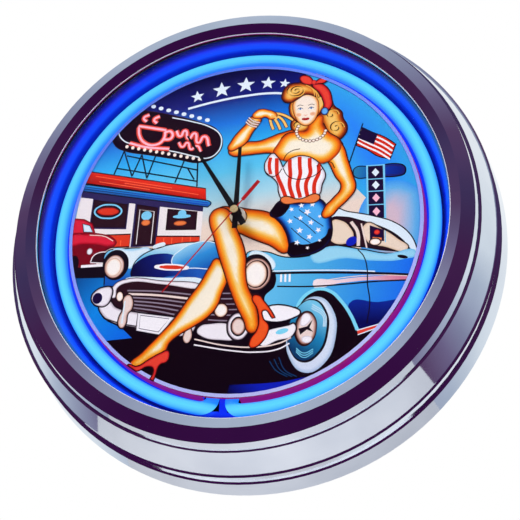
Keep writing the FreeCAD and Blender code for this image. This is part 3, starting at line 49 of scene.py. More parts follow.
TUBE_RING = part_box("neon_tube")[1].x - TUBE_RADIUS
PAN_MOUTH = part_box("reflector_pan")[0].y
PAN_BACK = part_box("reflector_pan")[1].y
PAN_FLOOR = PAN_BACK - 2 * MM               # where the shading of the pan's wall starts, just off its floor


# ------------------------------------------------------------------ finishes

def linear(hex_colour):
    """An sRGB hex colour as the linear red, green, blue and alpha that a socket takes."""
    channels = [int(hex_colour[i:i + 2], 16) / 255 for i in (1, 3, 5)]
    return [c / 12.92 if c <= 0.04045 else ((c + 0.055) / 1.055) ** 2.4 for c in channels] + [1.0]


def node(tree, kind, settings=(), **links):
    """Adds a node. A setting is for a socket, by name or number, for a property, or for a ramp's stops. A
    link is named for its socket, or is n and the socket's number."""
    made = tree.nodes.new(kind)
    for key, setting in dict(settings).items():
        if key == "stops":
            ramp = made.color_ramp
            while len(ramp.elements) < len(setting):
                ramp.elements.new(0.5)
            for element, (place, colour) in zip(ramp.elements, setting):
                element.position = place
                element.color = linear(colour)
        elif isinstance(key, int):
            made.inputs[key].default_value = setting
        elif key in made.inputs:
            made.inputs[key].default_value = setting
        else:
            setattr(made, key, setting)
    for key, source in links.items():
        name = key.replace("_", " ").strip()
        socket = made.inputs[int(name[1:])] if name[0] == "n" and name[1:].isdigit() else made.inputs[name]
        tree.links.new(source, socket)
    return made


def finish(name, colour=None, **shader):
    """A new material: its tree, its shader and its object coordinates."""
    material = bpy.data.materials.new(name)
    material.use_nodes = True
    tree = material.node_tree
    tree.nodes.clear()
    output = tree.nodes.new("ShaderNodeOutputMaterial")
    settings = {key.replace("_", " "): value for key, value in shader.items()}
    if colour:
        settings["Base Color"] = linear(colour)
    principled = node(tree, "ShaderNodeBsdfPrincipled", settings)
    tree.links.new(principled.outputs[0], output.inputs["Surface"])
    place = tree.nodes.new("ShaderNodeTexCoord").outputs["Object"]
    return material, tree, principled, place


def mottled(name, dark, pale, size_mm, rough, grain_mm, relief_mm, **shader):
    """A finish whose colour and gloss wander over the surface, with a fine relief."""
    material, tree, principled, place = finish(name, **shader)
    noises = []
    for width, detail in ((size_mm, 3.0), (size_mm * 0.4, 3.0), (grain_mm, 2.0)):
        noise = node(tree, "ShaderNodeTexNoise", {"Scale": 1 / (width * MM), "Detail": detail}, Vector=place)
        noises.append(noise.outputs[0])
    clouds, haze, grain = noises
    ramp = node(tree, "ShaderNodeValToRGB", {"stops": [(0.35, dark), (0.65, pale)]}, Fac=clouds)
    tree.links.new(ramp.outputs[0], principled.inputs["Base Color"])
    gloss = node(tree, "ShaderNodeMapRange", {3: rough[0], 4: rough[1]}, Value=haze)
    tree.links.new(gloss.outputs[0], principled.inputs["Roughness"])
    if relief_mm:
        bump = node(tree, "ShaderNodeBump", {"Strength": 0.4, "Distance": relief_mm * MM}, Height=grain)
        tree.links.new(bump.outputs[0], principled.inputs["Normal"])
    return material


# Bright chromium over nickel on spun steel: a mirror with faint polishing haze.
chrome = mottled("chromium_plated_steel", "#d9dee6", "#e6eaf0", 60, (0.035, 0.065), 25, 0.01, Metallic=1.0)
# Float glass, seen almost edge-free: only a faint sheen over what is behind it.
glass = finish("float_glass", "#0c1418", Roughness=0.01, Alpha=0.05, IOR=1.5)[0]
# Black EPDM: matte, with a dusty bloom.
rubber = mottled("black_epdm_rubber", "#121213", "#1d1d1e", 6, (0.6, 0.8), 0.6, 0.008)
# Moulded ABS with a spark-eroded texture.
black_abs = mottled("black_textured_abs", "#0c0c0e", "#151518", 12, (0.42, 0.56), 0.5, 0.03)
# Zinc-plated steel: grey with a faint bluish and straw wander.
zinc = mottled("zinc_plated_steel", "#a9aeb4", "#c6c4b8", 3, (0.24, 0.38), 0.4, 0.01, Metallic=1.0)
# Moulded nylon left undyed: waxy, between cream and bone.
nylon = mottled("natural_nylon", "#d9d2bf", "#e9e3d2", 5, (0.35, 0.5), 0.5, 0.02)
# Turned brass: a warm yellow mirror, softened by tool marks.
brass = mottled("turned_brass", "#b08a3c", "#d8b561", 1.5, (0.18, 0.3), 0.3, 0.01, Metallic=1.0)
# Moulded acetal: milky and smooth, as small gear wheels are.
acetal = mottled("white_acetal", "#cfcfc6", "#dedfd8", 2, (0.35, 0.45), 0.3, 0.01)
# Extruded silicone sleeve: deep red, without a sharp highlight.
silicone = mottled("red_silicone_sleeve", "#6d0f10", "#8a1513", 2, (0.45, 0.6), 0.4, 0.02)
# Solder mask over a laminated board: a green lacquer with a soft gloss.
solder_mask = mottled("green_solder_mask", "#0e3d22", "#1a5a33", 4, (0.25, 0.4), 0.6, 0.02)
# Pressed and fired ferrite: sooty, with a dry grain.
ferrite = mottled("sintered_ferrite", "#1b1a19", "#2c2a28", 1.2, (0.6, 0.75), 0.3, 0.03)
# Heat-shrunk sleeve on a capacitor's can: smooth blue with a crisp highlight.
can_sleeve = mottled("capacitor_sleeve_blue", "#152a5c", "#1d3770", 2, (0.2, 0.3), 0.6, 0.01)
# Magnet powder bonded in plastic: flat dark grey.
magnet_grey = mottled("bonded_magnet", "#252526", "#333334", 1, (0.4, 0.5), 0.3, 0.01)
# Enamelled wire wound in a coil: brown copper with fine ribs.
copper = mottled("enamelled_copper_wire", "#7c3418", "#b5602e", 0.5, (0.25, 0.35), 0.15, 0.03, Metallic=1.0)
# Shrunk film round a dry cell: near black and slick.
cell_film = mottled("dark_cell_film", "#16181d", "#23262e", 9, (0.2, 0.3), 0.6, 0.01)
# Moulded polycarbonate from a polished tool: clear red gloss.
rocker_red = mottled("gloss_red_polycarbonate", "#8c0a0d", "#a80f12", 4, (0.12, 0.2), 0.5, 0.01)
# Stamped aluminium, painted: the long hands are matte black, the second hand is satin red.
hand_black = mottled("matte_black_aluminium", "#0a0909", "#161414", 5, (0.5, 0.65), 0.3, 0.01)
hand_red = mottled("red_painted_aluminium", "#a30c10", "#c01418", 6, (0.25, 0.35), 0.4, 0.01)
# Vacuum-metallised cap: more lacquer than metal, so it stays bright where the room is dark.
cap_gold = mottled("gilded_cap", "#cdb37a", "#e6d3a0", 1.0, (0.2, 0.3), 0.3, 0.005, Metallic=0.35)
# The dial's turned-back edge, printed crimson: the tube's light on it is a painted magenta glow.
rim_red_painted_glow = mottled("red_printed_rim_painted_glow", "#a0083c", "#b80d4a", 12, (0.3, 0.4), 1, 0.01, Emission_Strength=0.45,
                  Emission_Color=linear("#b0006c"))
# The bezel's folded-back edge, whiter and less of a mirror than the chrome: a painted highlight line.
lip_painted_highlight = mottled("bezel_lip_painted_highlight", "#dfe6ee", "#f6f9fc", 8, (0.3, 0.4), 1, 0.004, Metallic=0.4)


def screen_mesh():
    """Black moulded nylon mesh, 1.2 mm between its threads."""
    material, tree, principled, place = finish("black_nylon_screen", Roughness=0.7)
    threads = []
    for turn in (0, math.pi / 2):
        turned_place = node(tree, "ShaderNodeMapping", {"Rotation": (0, turn, 0)}, Vector=place).outputs[0]
        # A wave repeats every pi / 10 at a scale of 1.
        wave = node(tree, "ShaderNodeTexWave", {"Scale": math.pi / 10 / (1.2 * MM)}, Vector=turned_place)
        threads.append(wave.outputs["Fac"])
    weave = node(tree, "ShaderNodeMath", {"operation": "MAXIMUM"}, n0=threads[0], n1=threads[1]).outputs[0]
    ramp = node(tree, "ShaderNodeValToRGB", {"stops": [(0.55, "#020203"), (0.85, "#161618")]}, Fac=weave)
    tree.links.new(ramp.outputs[0], principled.inputs["Base Color"])
    bump = node(tree, "ShaderNodeBump", {"Strength": 0.6, "Distance": 0.2 * MM}, Height=weave)
    tree.links.new(bump.outputs[0], principled.inputs["Normal"])
    return material


dust_screen = screen_mesh()


def off_the_ring(tree, place):
    """How far a point lies outside the tube's ring, and its place fore and aft."""
    parts = node(tree, "ShaderNodeSeparateXYZ", {}, Vector=place)
    squares = [node(tree, "ShaderNodeMath", {"operation": "MULTIPLY"}, n0=parts.outputs[axis],
                    n1=parts.outputs[axis]).outputs[0] for axis in ("X", "Z")]
    square = node(tree, "ShaderNodeMath", {"operation": "ADD"}, n0=squares[0], n1=squares[1]).outputs[0]
    out = node(tree, "ShaderNodeMath", {"operation": "SQRT"}, n0=square).outputs[0]
    beside = node(tree, "ShaderNodeMath", {"operation": "SUBTRACT", 1: TUBE_RING}, n0=out).outputs[0]
    return beside, parts.outputs["Y"]


def enamel_with_painted_glow():
    """Gloss enamel whose deep blue and glow are painted light from the tube: vivid on the floor and half way
    up the wall, where the tube is mirrored. Painted shade makes it black under the dial's edge, and navy
    in the outer corner and at the mouth."""
    material, tree, principled, place = finish("enamel_painted_blue_glow", "#030d78", Roughness=0.22, Coat_Weight=0.25,
                                               Coat_Roughness=0.08, Emission_Strength=0.9)
    beside, depth = off_the_ring(tree, place)
    up_wall = node(tree, "ShaderNodeMapRange", {1: PAN_FLOOR, 2: PAN_MOUTH}, Value=depth).outputs[0]
    stops = [(0.0, "#00022c"), (0.22, "#00035c"), (0.38, "#0410b4"), (0.50, "#0a40ff"), (0.70, "#0a3cff"),
             (0.80, "#0418b4"), (0.88, "#020a54"), (0.97, "#01021e")]
    wall = node(tree, "ShaderNodeValToRGB", {"stops": stops}, Fac=up_wall)
    floor_stops = [(0.0, "#000000"), (0.1, "#0a2cf4"), (0.8, "#0a34ff"), (1.0, "#0008a0")]
    under_dial, wall_foot, wall_clear = -13 * MM, 4.5 * MM, 6.2 * MM
    across_floor = node(tree, "ShaderNodeMapRange", {1: under_dial, 2: 5.5 * MM}, Value=beside).outputs[0]
    floor = node(tree, "ShaderNodeValToRGB", {"stops": floor_stops}, Fac=across_floor)
    on_wall = node(tree, "ShaderNodeMapRange", {1: wall_foot, 2: wall_clear}, Value=beside).outputs[0]
    shade = node(tree, "ShaderNodeMix", {"data_type": "RGBA"}, n0=on_wall, n6=floor.outputs[0],
                 n7=wall.outputs[0])
    # Half way through its sheet the painted glow ends, so that the pan's back stays dark.
    inside_sheet = PAN_BACK - 0.6 * MM
    in_front = node(tree, "ShaderNodeMath", {"operation": "LESS_THAN", 1: inside_sheet}, n0=depth).outputs[0]
    glow = node(tree, "ShaderNodeVectorMath", {"operation": "SCALE"}, n0=shade.outputs[2], Scale=in_front)
    tree.links.new(glow.outputs[0], principled.inputs["Emission Color"])
    return material


reflector = enamel_with_painted_glow()


def lit_tube():
    """Argon and mercury behind clear glass: pale cyan in the middle, bluer where the gas column thins."""
    material, tree, principled, place = finish("lit_blue_neon_glass", "#1c5f9c", Roughness=0.08,
                                               Emission_Strength=1.12)
    beside = off_the_ring(tree, place)[0]
    flank = node(tree, "ShaderNodeMath", {"operation": "ABSOLUTE"}, n0=beside).outputs[0]
    share = node(tree, "ShaderNodeMapRange", {1: 0.0, 2: TUBE_RADIUS}, Value=flank).outputs[0]
    clouds = node(tree, "ShaderNodeTexNoise", {"Scale": 1 / (45 * MM), "Detail": 2.0}, Vector=place)
    uneven = node(tree, "ShaderNodeMapRange", {3: -0.12, 4: 0.12}, Value=clouds.outputs[0])
    total = node(tree, "ShaderNodeMath", {"operation": "ADD"}, n0=share, n1=uneven.outputs[0]).outputs[0]
    stops = [(0.0, "#5ccdf4"), (0.45, "#54c0f4"), (0.72, "#43acf6"), (0.9, "#2a8cfa"), (1.0, "#1a78fb")]
    ramp = node(tree, "ShaderNodeValToRGB", {"stops": stops}, Fac=total)
    tree.links.new(ramp.outputs[0], principled.inputs["Emission Color"])
    return material


neon = lit_tube()

CAD_FINISH = {
    chrome: "body_shell front_bezel",
    glass: "front_glass",
    rubber: "glass_gasket electrode_boots wall_bumpers movement_seal",
    reflector: "reflector_pan",
    rim_red_painted_glow: "dial_plate",
    nylon: "dial_posts centre_nut tube_supports",
    zinc: "dial_post_screws inverter_screws cover_screws hanger_plate hanger_rivets door_hinge_pin "
          "stator coil_core quartz_crystal battery_contacts electrodes inverter_transistor",
    neon: "neon_tube",
    silicone: "high_voltage_leads low_voltage_leads",
    black_abs: "inverter_case inverter_lid rear_cover movement_door movement_case movement_back "
               "dc_jack switch_body setting_knob",
    solder_mask: "inverter_board movement_board",
    ferrite: "inverter_transformer",
    can_sleeve: "inverter_capacitors",
    rocker_red: "switch_rocker",
    brass: "movement_bush dial_washer rotor_pinion centre_wheel hour_wheel",
    magnet_grey: "rotor_magnet",
    acetal: "fifth_wheel second_wheel third_wheel motion_wheel",
    copper: "coil",
    cell_film: "battery",
    hand_black: "hour_hand minute_hand",
    hand_red: "second_hand",
    cap_gold: "hand_cap",
}
for material, names in CAD_FINISH.items():
    for name in names.split():
        cad_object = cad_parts[name]
        cad_object.data.materials.clear()
        cad_object.data.materials.append(material)


# ------------------------------------------------------------------ turned and flat pieces

def stand(shape, name, material):
    """A finished shape as a piece of the case."""
    mesh = bpy.data.meshes.new(name)
    shape.to_mesh(mesh)
    shape.free()
    mesh.materials.append(material)
    piece = bpy.data.objects.new(name, mesh)
    bpy.context.collection.objects.link(piece)
    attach(piece, "case")
    return piece


def turned(name, material, profile):
    """A ring or disc spun about the clock's axis from a closed profile of (radius, y) in millimetres."""
    shape = bmesh.new()
    verts = [shape.verts.new((radius * MM, y * MM, 0)) for radius, y in profile]
    edges = [shape.edges.new(pair) for pair in zip(verts, verts[1:] + verts[:1])]
    bmesh.ops.spin(shape, geom=verts + edges, cent=(0, 0, 0), axis=(0, 1, 0), angle=math.tau, steps=180,
                   use_merge=True)
    bmesh.ops.remove_doubles(shape, verts=shape.verts, dist=1e-7)
    bmesh.ops.recalc_face_normals(shape, faces=shape.faces)
    return stand(shape, name, material)


# The folded edge of the bezel's sheet, all round the opening, in the painted highlight finish.
BEAD_RING, BEAD_Y, BEAD_RADIUS = 167.65, -67.45, 0.45
bead_outline = [(BEAD_RING + BEAD_RADIUS * math.cos(math.tau * k / 8),
                 BEAD_Y + BEAD_RADIUS * math.sin(math.tau * k / 8)) for k in range(8)]
bead = turned("bezel_lip_bead", lip_painted_highlight, bead_outline)
bead.data.shade_smooth()

# The pane is modelled a hair clear of the bezel and the gasket that hold it, with its arrised edge.
PANE_GAP, ARRIS = 0.03, 0.4
pane_low, pane_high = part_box("front_glass")
pane_rim = pane_high.x / MM - PANE_GAP
pane_front, pane_back = pane_low.y / MM + PANE_GAP, pane_high.y / MM - PANE_GAP
pane = turned("front_glass_pane", glass, [
    (0, pane_front), (pane_rim - ARRIS, pane_front), (pane_rim, pane_front + ARRIS),
    (pane_rim, pane_back - ARRIS), (pane_rim - ARRIS, pane_back), (0, pane_back)])
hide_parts("front_glass")


def plate(name, material, middle, half, front, thickness, corner):
    """A flat sheet with rounded corners, standing across the Y axis. Its middle and its half size are given
    along X and Z, and its front is its nearer face's place along Y."""
    shape = bmesh.new()
    place = Matrix.Translation((middle[0], front, middle[1])) @ Matrix.Rotation(math.pi / 2, 4, "X")
    bmesh.ops.create_grid(shape, x_segments=1, y_segments=1, size=1.0)
    bmesh.ops.scale(shape, verts=shape.verts, vec=(half[0], half[1], 1))
    bmesh.ops.bevel(shape, geom=shape.verts[:], offset=corner, segments=5, profile=0.5, affect="VERTICES",
                    material=-1)
    sheet = bmesh.ops.extrude_face_region(shape, geom=shape.faces[:])
    moved = [part for part in sheet["geom"] if isinstance(part, bmesh.types.BMVert)]
    bmesh.ops.translate(shape, verts=moved, vec=(0, 0, -thickness))
    bmesh.ops.transform(shape, matrix=place, verts=shape.verts)
    bmesh.ops.recalc_face_normals(shape, faces=shape.faces)
    stand(shape, name, material)


# A tongue of enamelled sheet closes the pan between the tube's two legs; it carries the pan's painted glow.
boots_low, boots_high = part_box("electrode_boots")
plate("leg_opening_tongue", reflector, middle=((boots_low.x + boots_high.x) / 2, -149 * MM),
      half=(3.1 * MM, 11 * MM), front=PAN_BACK - 1.8 * MM, thickness=0.5 * MM, corner=1 * MM)
# A dust screen lies inside the rear cover, over the vents.
plate("vent_dust_screen", dust_screen, middle=(0, -140 * MM), half=(39 * MM, 18 * MM),
      front=-5.6 * MM, thickness=0.4 * MM, corner=3 * MM)


# ------------------------------------------------------------------ the printed dial

PRINT_RADIUS = 148.6                        # the print ends just inside the sheet's rounded edge


def printed(name, *stops, slope=None):
    """Gloss-lacquered four-colour print on sheet steel. Its colour runs from the drawn edge inwards, as an
    airbrush shades it, or along a slope given by two points in millimetres. The ink's grain is drawn 1.2 mm
    wide, coarser than the real one, so that it shows."""
    material, tree, principled, place = finish(name, Roughness=0.28, Coat_Weight=0.25, Coat_Roughness=0.08)
    colours = [(index / max(1, len(stops) - 1), colour) for index, colour in enumerate(stops)]
    if len(colours) == 1:
        colours = [(0.0, stops[0]), (1.0, stops[0])]
    if slope:
        start, end = (Vector((x * MM, 0, y * MM)) for x, y in slope)
        run = end - start
        along = node(tree, "ShaderNodeVectorMath", {"operation": "DOT_PRODUCT", 1: run / run.length_squared},
                     n0=place).outputs["Value"]
        at_start = start.dot(run) / run.length_squared
        share = node(tree, "ShaderNodeMath", {"operation": "SUBTRACT", 1: at_start}, n0=along).outputs[0]
    else:
        share = node(tree, "ShaderNodeAttribute", {"attribute_name": "depth"}).outputs["Fac"]
    ramp = node(tree, "ShaderNodeValToRGB", {"stops": colours}, Fac=share)
    speckle = node(tree, "ShaderNodeTexNoise", {"Scale": 1 / (1.2 * MM), "Detail": 3.0}, Vector=place)
    grain = node(tree, "ShaderNodeMapRange", {3: 0.9, 4: 1.1}, Value=speckle.outputs[0])
    tinted = node(tree, "ShaderNodeVectorMath", {"operation": "SCALE"}, n0=ramp.outputs[0],
                  Scale=grain.outputs[0])
    tree.links.new(tinted.outputs[0], principled.inputs["Base Color"])
    return material


INKS = {
    "sky": printed("print_sky", "#07063e", "#0a1678", "#0d72dc", "#2cb0f2", "#5ccaf2", "#a8dcec", "#f0dccb",
                   slope=((-20, 140), (0, -4))),
    "glow": printed("print_right_glow", "#35aeea", "#2a8af6", "#1a6ef4"),
    "dusk": printed("print_dusk", "#3a9cf0", "#66b4e8", "#a4bcdc", "#d2bccc", "#e2c0c4"),
    "night": printed("print_night", "#16050f", "#0e0309"),
    "lawn": printed("print_blue_ground", "#0a4f96", "#0d8be8", "#0a68e6", slope=((-138, -50), (-84, -100))),
    "kerb": printed("print_blue_kerb", "#02063a", "#0a20b8", slope=((0, -146), (20, -134))),
    "pale": printed("print_pale_blue", "#a9c8dc", "#e4f3fa"),
    "line": printed("print_dark_line", "#120a12"),
    "brown": printed("print_brown_line", "#2e0d05"),
    "board": printed("print_sign_board", "#0a0410", "#1a0712"),
    "tube_pink": printed("print_pink_tube", "#c0102c", "#ff4f86", "#ffc0d2"),
    "bulb": printed("print_bulb", "#c98f80", "#fff0e0"),
    "truss": printed("print_truss", "#0c1c30"),
    "roof": printed("print_red_roof", "#f04420", "#e82206", "#b41404", slope=((-80, 46), (-84, 30))),
    "arm": printed("print_sign_arm", "#2a86b0", "#0f5cae", "#0a2f9a", "#081a74", slope=((94, 40), (136, 32))),
    "streak": printed("print_red_streak", "#ff6a40"),
    "awning": printed("print_awning", "#3fb0f0", "#1c74c8", "#123c84", slope=((-80, 30), (-82, 20))),
    "violet": printed("print_violet_shade", "#5a4f9a", "#2c2456"),
    "wall": printed("print_white_wall", "#b9b4cc", "#f2ecea"),
    "glazing": printed("print_dark_glazing", "#0c0814", "#2a1018"),
    "cyan": printed("print_cyan_tube", "#2f8fd0", "#7cd0f4"),
    "red": printed("print_red", "#a81010", "#e03418"),
    "brick": printed("print_red_panel", "#b81808", "#e23a1c"),
    "orange": printed("print_orange", "#b04010", "#f08040"),
    "crimson": printed("print_red_car", "#5a0410", "#b80a20", "#e0203a"),
    "deep_red": printed("print_red_shadow", "#3a0210", "#7c0616"),
    "hood": printed("print_hood", "#d6f0f8", "#7cc8ea", "#2f90dc", "#0f58b8", slope=((-60, -21), (-64, -54))),
    "recess": printed("print_hood_recess", "#1a5ab8", "#0a1a70", "#07083c", slope=((-40, -28), (-84, -48))),
    "bulge": printed("print_hood_bulge", "#8fd2f2", "#2f92da", "#1260b8", slope=((-38, -22), (-28, -44))),
    "flank": printed("print_flank", "#66c4ee", "#4aaee4", "#2c90e6", "#1268ee",
                     slope=((30, -40), (140, -62))),
    "sheen": printed("print_flank_sheen", "#70c6ee", "#9adaf2"),
    "shade_blue": printed("print_flank_shade", "#0a2a9a", "#020650", slope=((100, -72), (100, -92))),
    "gleam": printed("print_gleam", "#9ad4f2", "#e2f3fa"),
    "white": printed("print_white", "#cfc8d6", "#fbf9fb"),
    "chrome": printed("print_chrome", "#5a4650", "#cdc2cc", "#f6f2f6"),
    "ember": printed("print_warm_chrome", "#5a2a20", "#c8998a", "#f0dcd2"),
    "lamp": printed("print_head_lamp", "#c68f74", "#fbe6d2", "#fffaf2"),
    "grille": printed("print_grille_bar", "#8d8090"),
    "arch": printed("print_arch_light", "#3fb2e6", "#7fdcf6"),
    "spear": printed("print_spear", "#fbf4f2", "#f2d0d6", "#d87a98", slope=((50, -58), (130, -57))),
    "tread": printed("print_tyre_wall", "#a8c4e0", "#dbe8f6"),
    "disc": printed("print_wheel_disc", "#0a3a66", "#1b86b8", "#78cdec", slope=((48, -112), (70, -82))),
    "peach": printed("print_peach", "#d8b088", "#f0dcc4"),
    "panel": printed("print_sign_panel", "#0c1450", "#1a0a34"),
    "skin": printed("print_skin", "#7a1c02", "#e85a06", "#fa8e12", "#fdb238", "#fed880", "#fff6de"),
    "flesh": printed("print_flesh", "#fdc468"),
    "face": printed("print_face", "#b84a12", "#f6a24e", "#fbd3a2", "#fde8cc", "#fdeedb"),
    "rose": printed("print_cheek", "#f9cfa6", "#f4a680"),
    "lips": printed("print_lips", "#8c0a10", "#c8181c"),
    "hair": printed("print_hair", "#3c0a04", "#8c2c0a", "#d8741c", "#f4b048", "#f8cc70"),
    "lock": printed("print_hair_lock", "#7a2a08", "#f2b850"),
    "ribbon": printed("print_red_ribbon", "#7c0812", "#d01c22", "#ee4430"),
    "shoe": printed("print_red_shoe", "#8c1404", "#e03208", "#f45a20"),
    "navy": printed("print_navy_cloth", "#0a0518", "#0f1c60", "#1b6cc8", "#3ba0ec", "#4fb0f4"),
    "stripe": printed("print_red_stripe", "#9c1206", "#dc2c10"),
    "earring": printed("print_earring", "#103a8c", "#6ab4f4"),
    "rim": printed("print_pale_rim", "#5f86f6", "#8fa6fa", "#c6cdf8", slope=((-70, 130), (40, -146))),
}


def smooth_outline(points, closed):
    """Places along a Bezier curve through given points. A point's third number marks a sharp corner."""
    curve = bpy.data.curves.new("outline", "CURVE")
    curve.dimensions = "3D"
    curve.resolution_u = 6
    spline = curve.splines.new("BEZIER")
    spline.bezier_points.add(len(points) - 1)
    for knot, point in zip(spline.bezier_points, points):
        knot.co = (point[0] * MM, 0, point[1] * MM)
        sharp = len(point) > 2
        knot.handle_left_type = knot.handle_right_type = "VECTOR" if sharp else "AUTO"
    spline.use_cyclic_u = closed
    holder = bpy.data.objects.new("outline", curve)
    mesh = bpy.data.meshes.new_from_object(holder)
    places = [vertex.co.copy() for vertex in mesh.vertices]
    bpy.data.objects.remove(holder)
    bpy.data.meshes.remove(mesh)
    bpy.data.curves.remove(curve)
    return places


class Print:
    """One printed part of the picture: flat shapes in millimetres from the dial's centre, each a hair in
    front of the one before. The depth attribute runs from 0 at a shaded shape's outline to 1 inside it."""
    height = 0

    def __init__(self, name):
        self.name = name
        self.mesh = bpy.data.meshes.new(name)
        self.shape = bmesh.new()
        self.depth = self.shape.verts.layers.float.new("depth")
        self.inks = []

    def laid(self, place):
        """A place on the newest layer, drawn in to the edge of the print where it lies outside."""
        out = math.hypot(place.x, place.z)
        pull = min(1.0, PRINT_RADIUS * MM / max(out, 1e-9))
        return Vector((place.x * pull, DIAL_FACE - Print.height * INK, place.z * pull))

    def ink(self, faces, ink):
        """Gives faces their ink, and turns them to the front."""
        if ink not in self.inks:
            self.inks.append(ink)
            self.mesh.materials.append(INKS[ink])
        for face in faces:
            face.material_index = self.inks.index(ink)
            face.normal_update()
            if face.normal.y > 0:
                face.normal_flip()

    def fill(self, ink, points, inset=0.0):
        """A flat shape. With an inset, its depth reaches 1 that many millimetres inside the outline."""
        Print.height += 1
        places = [self.laid(place) for place in smooth_outline(points, True)]
        outline = [Vector((place.x, place.z)) for place in places]
        if not inset:
            face = self.shape.faces.new([self.shape.verts.new(place) for place in places])
            for vertex in face.verts:
                vertex[self.depth] = 1.0
            self.ink([face], ink)
            return
        # Staggered rows of spots inside the outline, so that its depth can change between them.
        step = max(0.8, inset / 3) * MM
        low = [min(point[k] for point in outline) for k in (0, 1)]
        high = [max(point[k] for point in outline) for k in (0, 1)]
        inner = []
        for row in range(int((high[1] - low[1]) / step) + 1):
            for column in range(int((high[0] - low[0]) / step) + 1):
                spot = Vector((low[0] + (column + 0.5 * (row % 2)) * step, low[1] + (row + 0.5) * step))
                if self.clearance(spot, outline) > step * 0.45:
                    inner.append(spot)
        count = len(outline)
        loop = [(k, (k + 1) % count) for k in range(count)]
        spots, _, triangles, *_ = delaunay_2d_cdt(outline + inner, loop, [list(range(count))], 1, 1e-7)
        height = DIAL_FACE - Print.height * INK
        verts = [self.shape.verts.new((spot.x, height, spot.y)) for spot in spots]
        for vertex, spot in zip(verts, spots):
            vertex[self.depth] = min(1.0, self.clearance(spot, outline) / (inset * MM))
        self.ink([self.shape.faces.new([verts[k] for k in triangle]) for triangle in triangles], ink)
        for vertex in verts:
            if not vertex.link_faces:
                self.shape.verts.remove(vertex)

    @staticmethod
    def clearance(spot, outline):
        """How far a spot lies from the nearest part of the outline."""
        nearest = 1e9
        for start, end in zip(outline, outline[1:] + outline[:1]):
            run = end - start
            share = max(0.0, min(1.0, (spot - start).dot(run) / max(run.length_squared, 1e-12)))
            nearest = min(nearest, (spot - start - run * share).length)
        return nearest

    def line(self, ink, width, points, closed=False):
        """A pen line of even width."""
        Print.height += 1
        places = [self.laid(place) for place in smooth_outline(points, closed)]
        sides = ([], [])
        last = len(places) - 1
        for index, place in enumerate(places):
            before = places[index - 1 if index or closed else index]
            after = places[(index + 1) % len(places) if index < last or closed else index]
            run = (after - before).normalized()
            across = Vector((-run.z, 0, run.x)) * width * MM / 2
            sides[0].append(self.shape.verts.new(place - across))
            sides[1].append(self.shape.verts.new(place + across))
        edges = []
        for side in sides:
            for vertex in side:
                vertex[self.depth] = 1.0
            ends = list(zip(side, side[1:])) + ([(side[-1], side[0])] if closed else [])
            edges += [self.shape.edges.new(pair) for pair in ends]
        strip = bmesh.ops.bridge_loops(self.shape, edges=edges)
        self.ink(strip["faces"], ink)

    def oval(self, ink, x, y, wide, high, tilt=0.0, inset=0.0):
        """A flat oval from its middle, its two half widths and its tilt in degrees."""
        turn = math.radians(tilt)
        ring = [(wide * math.cos(a), high * math.sin(a)) for a in (math.tau * k / 8 for k in range(8))]
        self.fill(ink, [(x + u * math.cos(turn) - v * math.sin(turn),
                         y + u * math.sin(turn) + v * math.cos(turn)) for u, v in ring], inset)

    def star(self, ink, x, y, size, turn):
        """A five-pointed star from its middle, its reach and its turn in degrees."""
        points = []
        for tip in range(10):
            reach = size if tip % 2 == 0 else size * 0.42
            angle = math.radians(90 + turn + 36 * tip)
            points.append((x + reach * math.cos(angle), y + reach * math.sin(angle), 1))
        self.fill(ink, points)

    def drawn(self, ink, points, inset=0.0, line=0.9, pen="brown"):
        """A shaded shape with a pen line round it."""
        self.fill(ink, points, inset)
        self.line(pen, line, points, closed=True)

    def finish(self):
        """The whole part as one piece on the dial."""
        self.shape.to_mesh(self.mesh)
        self.shape.free()
        piece = bpy.data.objects.new(self.name, self.mesh)
        bpy.context.collection.objects.link(piece)
        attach(piece, "case")


def sharp(*points):
    """Points that are all corners."""
    return [(x, y, 1) for x, y in points]


def print_sky():
    """The evening sky and its stars, with the dark street and the blue ground."""
    sky = Print("dial_print_sky")
    sky.oval("sky", 0, 0, 148.4, 148.4)
    sky.oval("glow", 126, 96, 60, 120, 20, inset=46)
    sky.oval("dusk", 127, -14, 30, 40, 0, inset=26)
    sky.fill("night", [(-146, -38, 1), (-60, -44), (60, -40), (148, -38, 1), (128, -76), (104, -106),
                       (74, -129), (38, -144), (0, -148.6), (-38, -144), (-74, -129), (-104, -106),
                       (-128, -76)])
    sky.fill("lawn", [(-144, -48, 1), (-110, -47, 1), (-104, -60), (-104, -84), (-90, -94), (-82, -101, 1),
                      (-104, -103, 1), (-126, -80), (-138, -62)])
    sky.fill("kerb", [(-2, -147, 1), (0, -139, 1), (40, -136.5), (58, -133, 1), (30, -146, 1)])
    for x, y, size, turn in ((-44, 122, 6.5, 8), (-22, 127, 8.5, 4), (0, 130, 8.5, 0), (20, 130, 7, -5),
                             (35, 128, 5, -10)):
        sky.star("pale", x, y, size, turn)
    sky.line("pale", 2.2, [(-52, 110), (-28, 115), (0, 118.5), (24, 119), (38, 117)])
    for k in range(8):
        sky.oval("pale", -85 + 7.4 * k, 115.5 - 2.7 * k, 2.3, 1.9, -20)
    sky.finish()


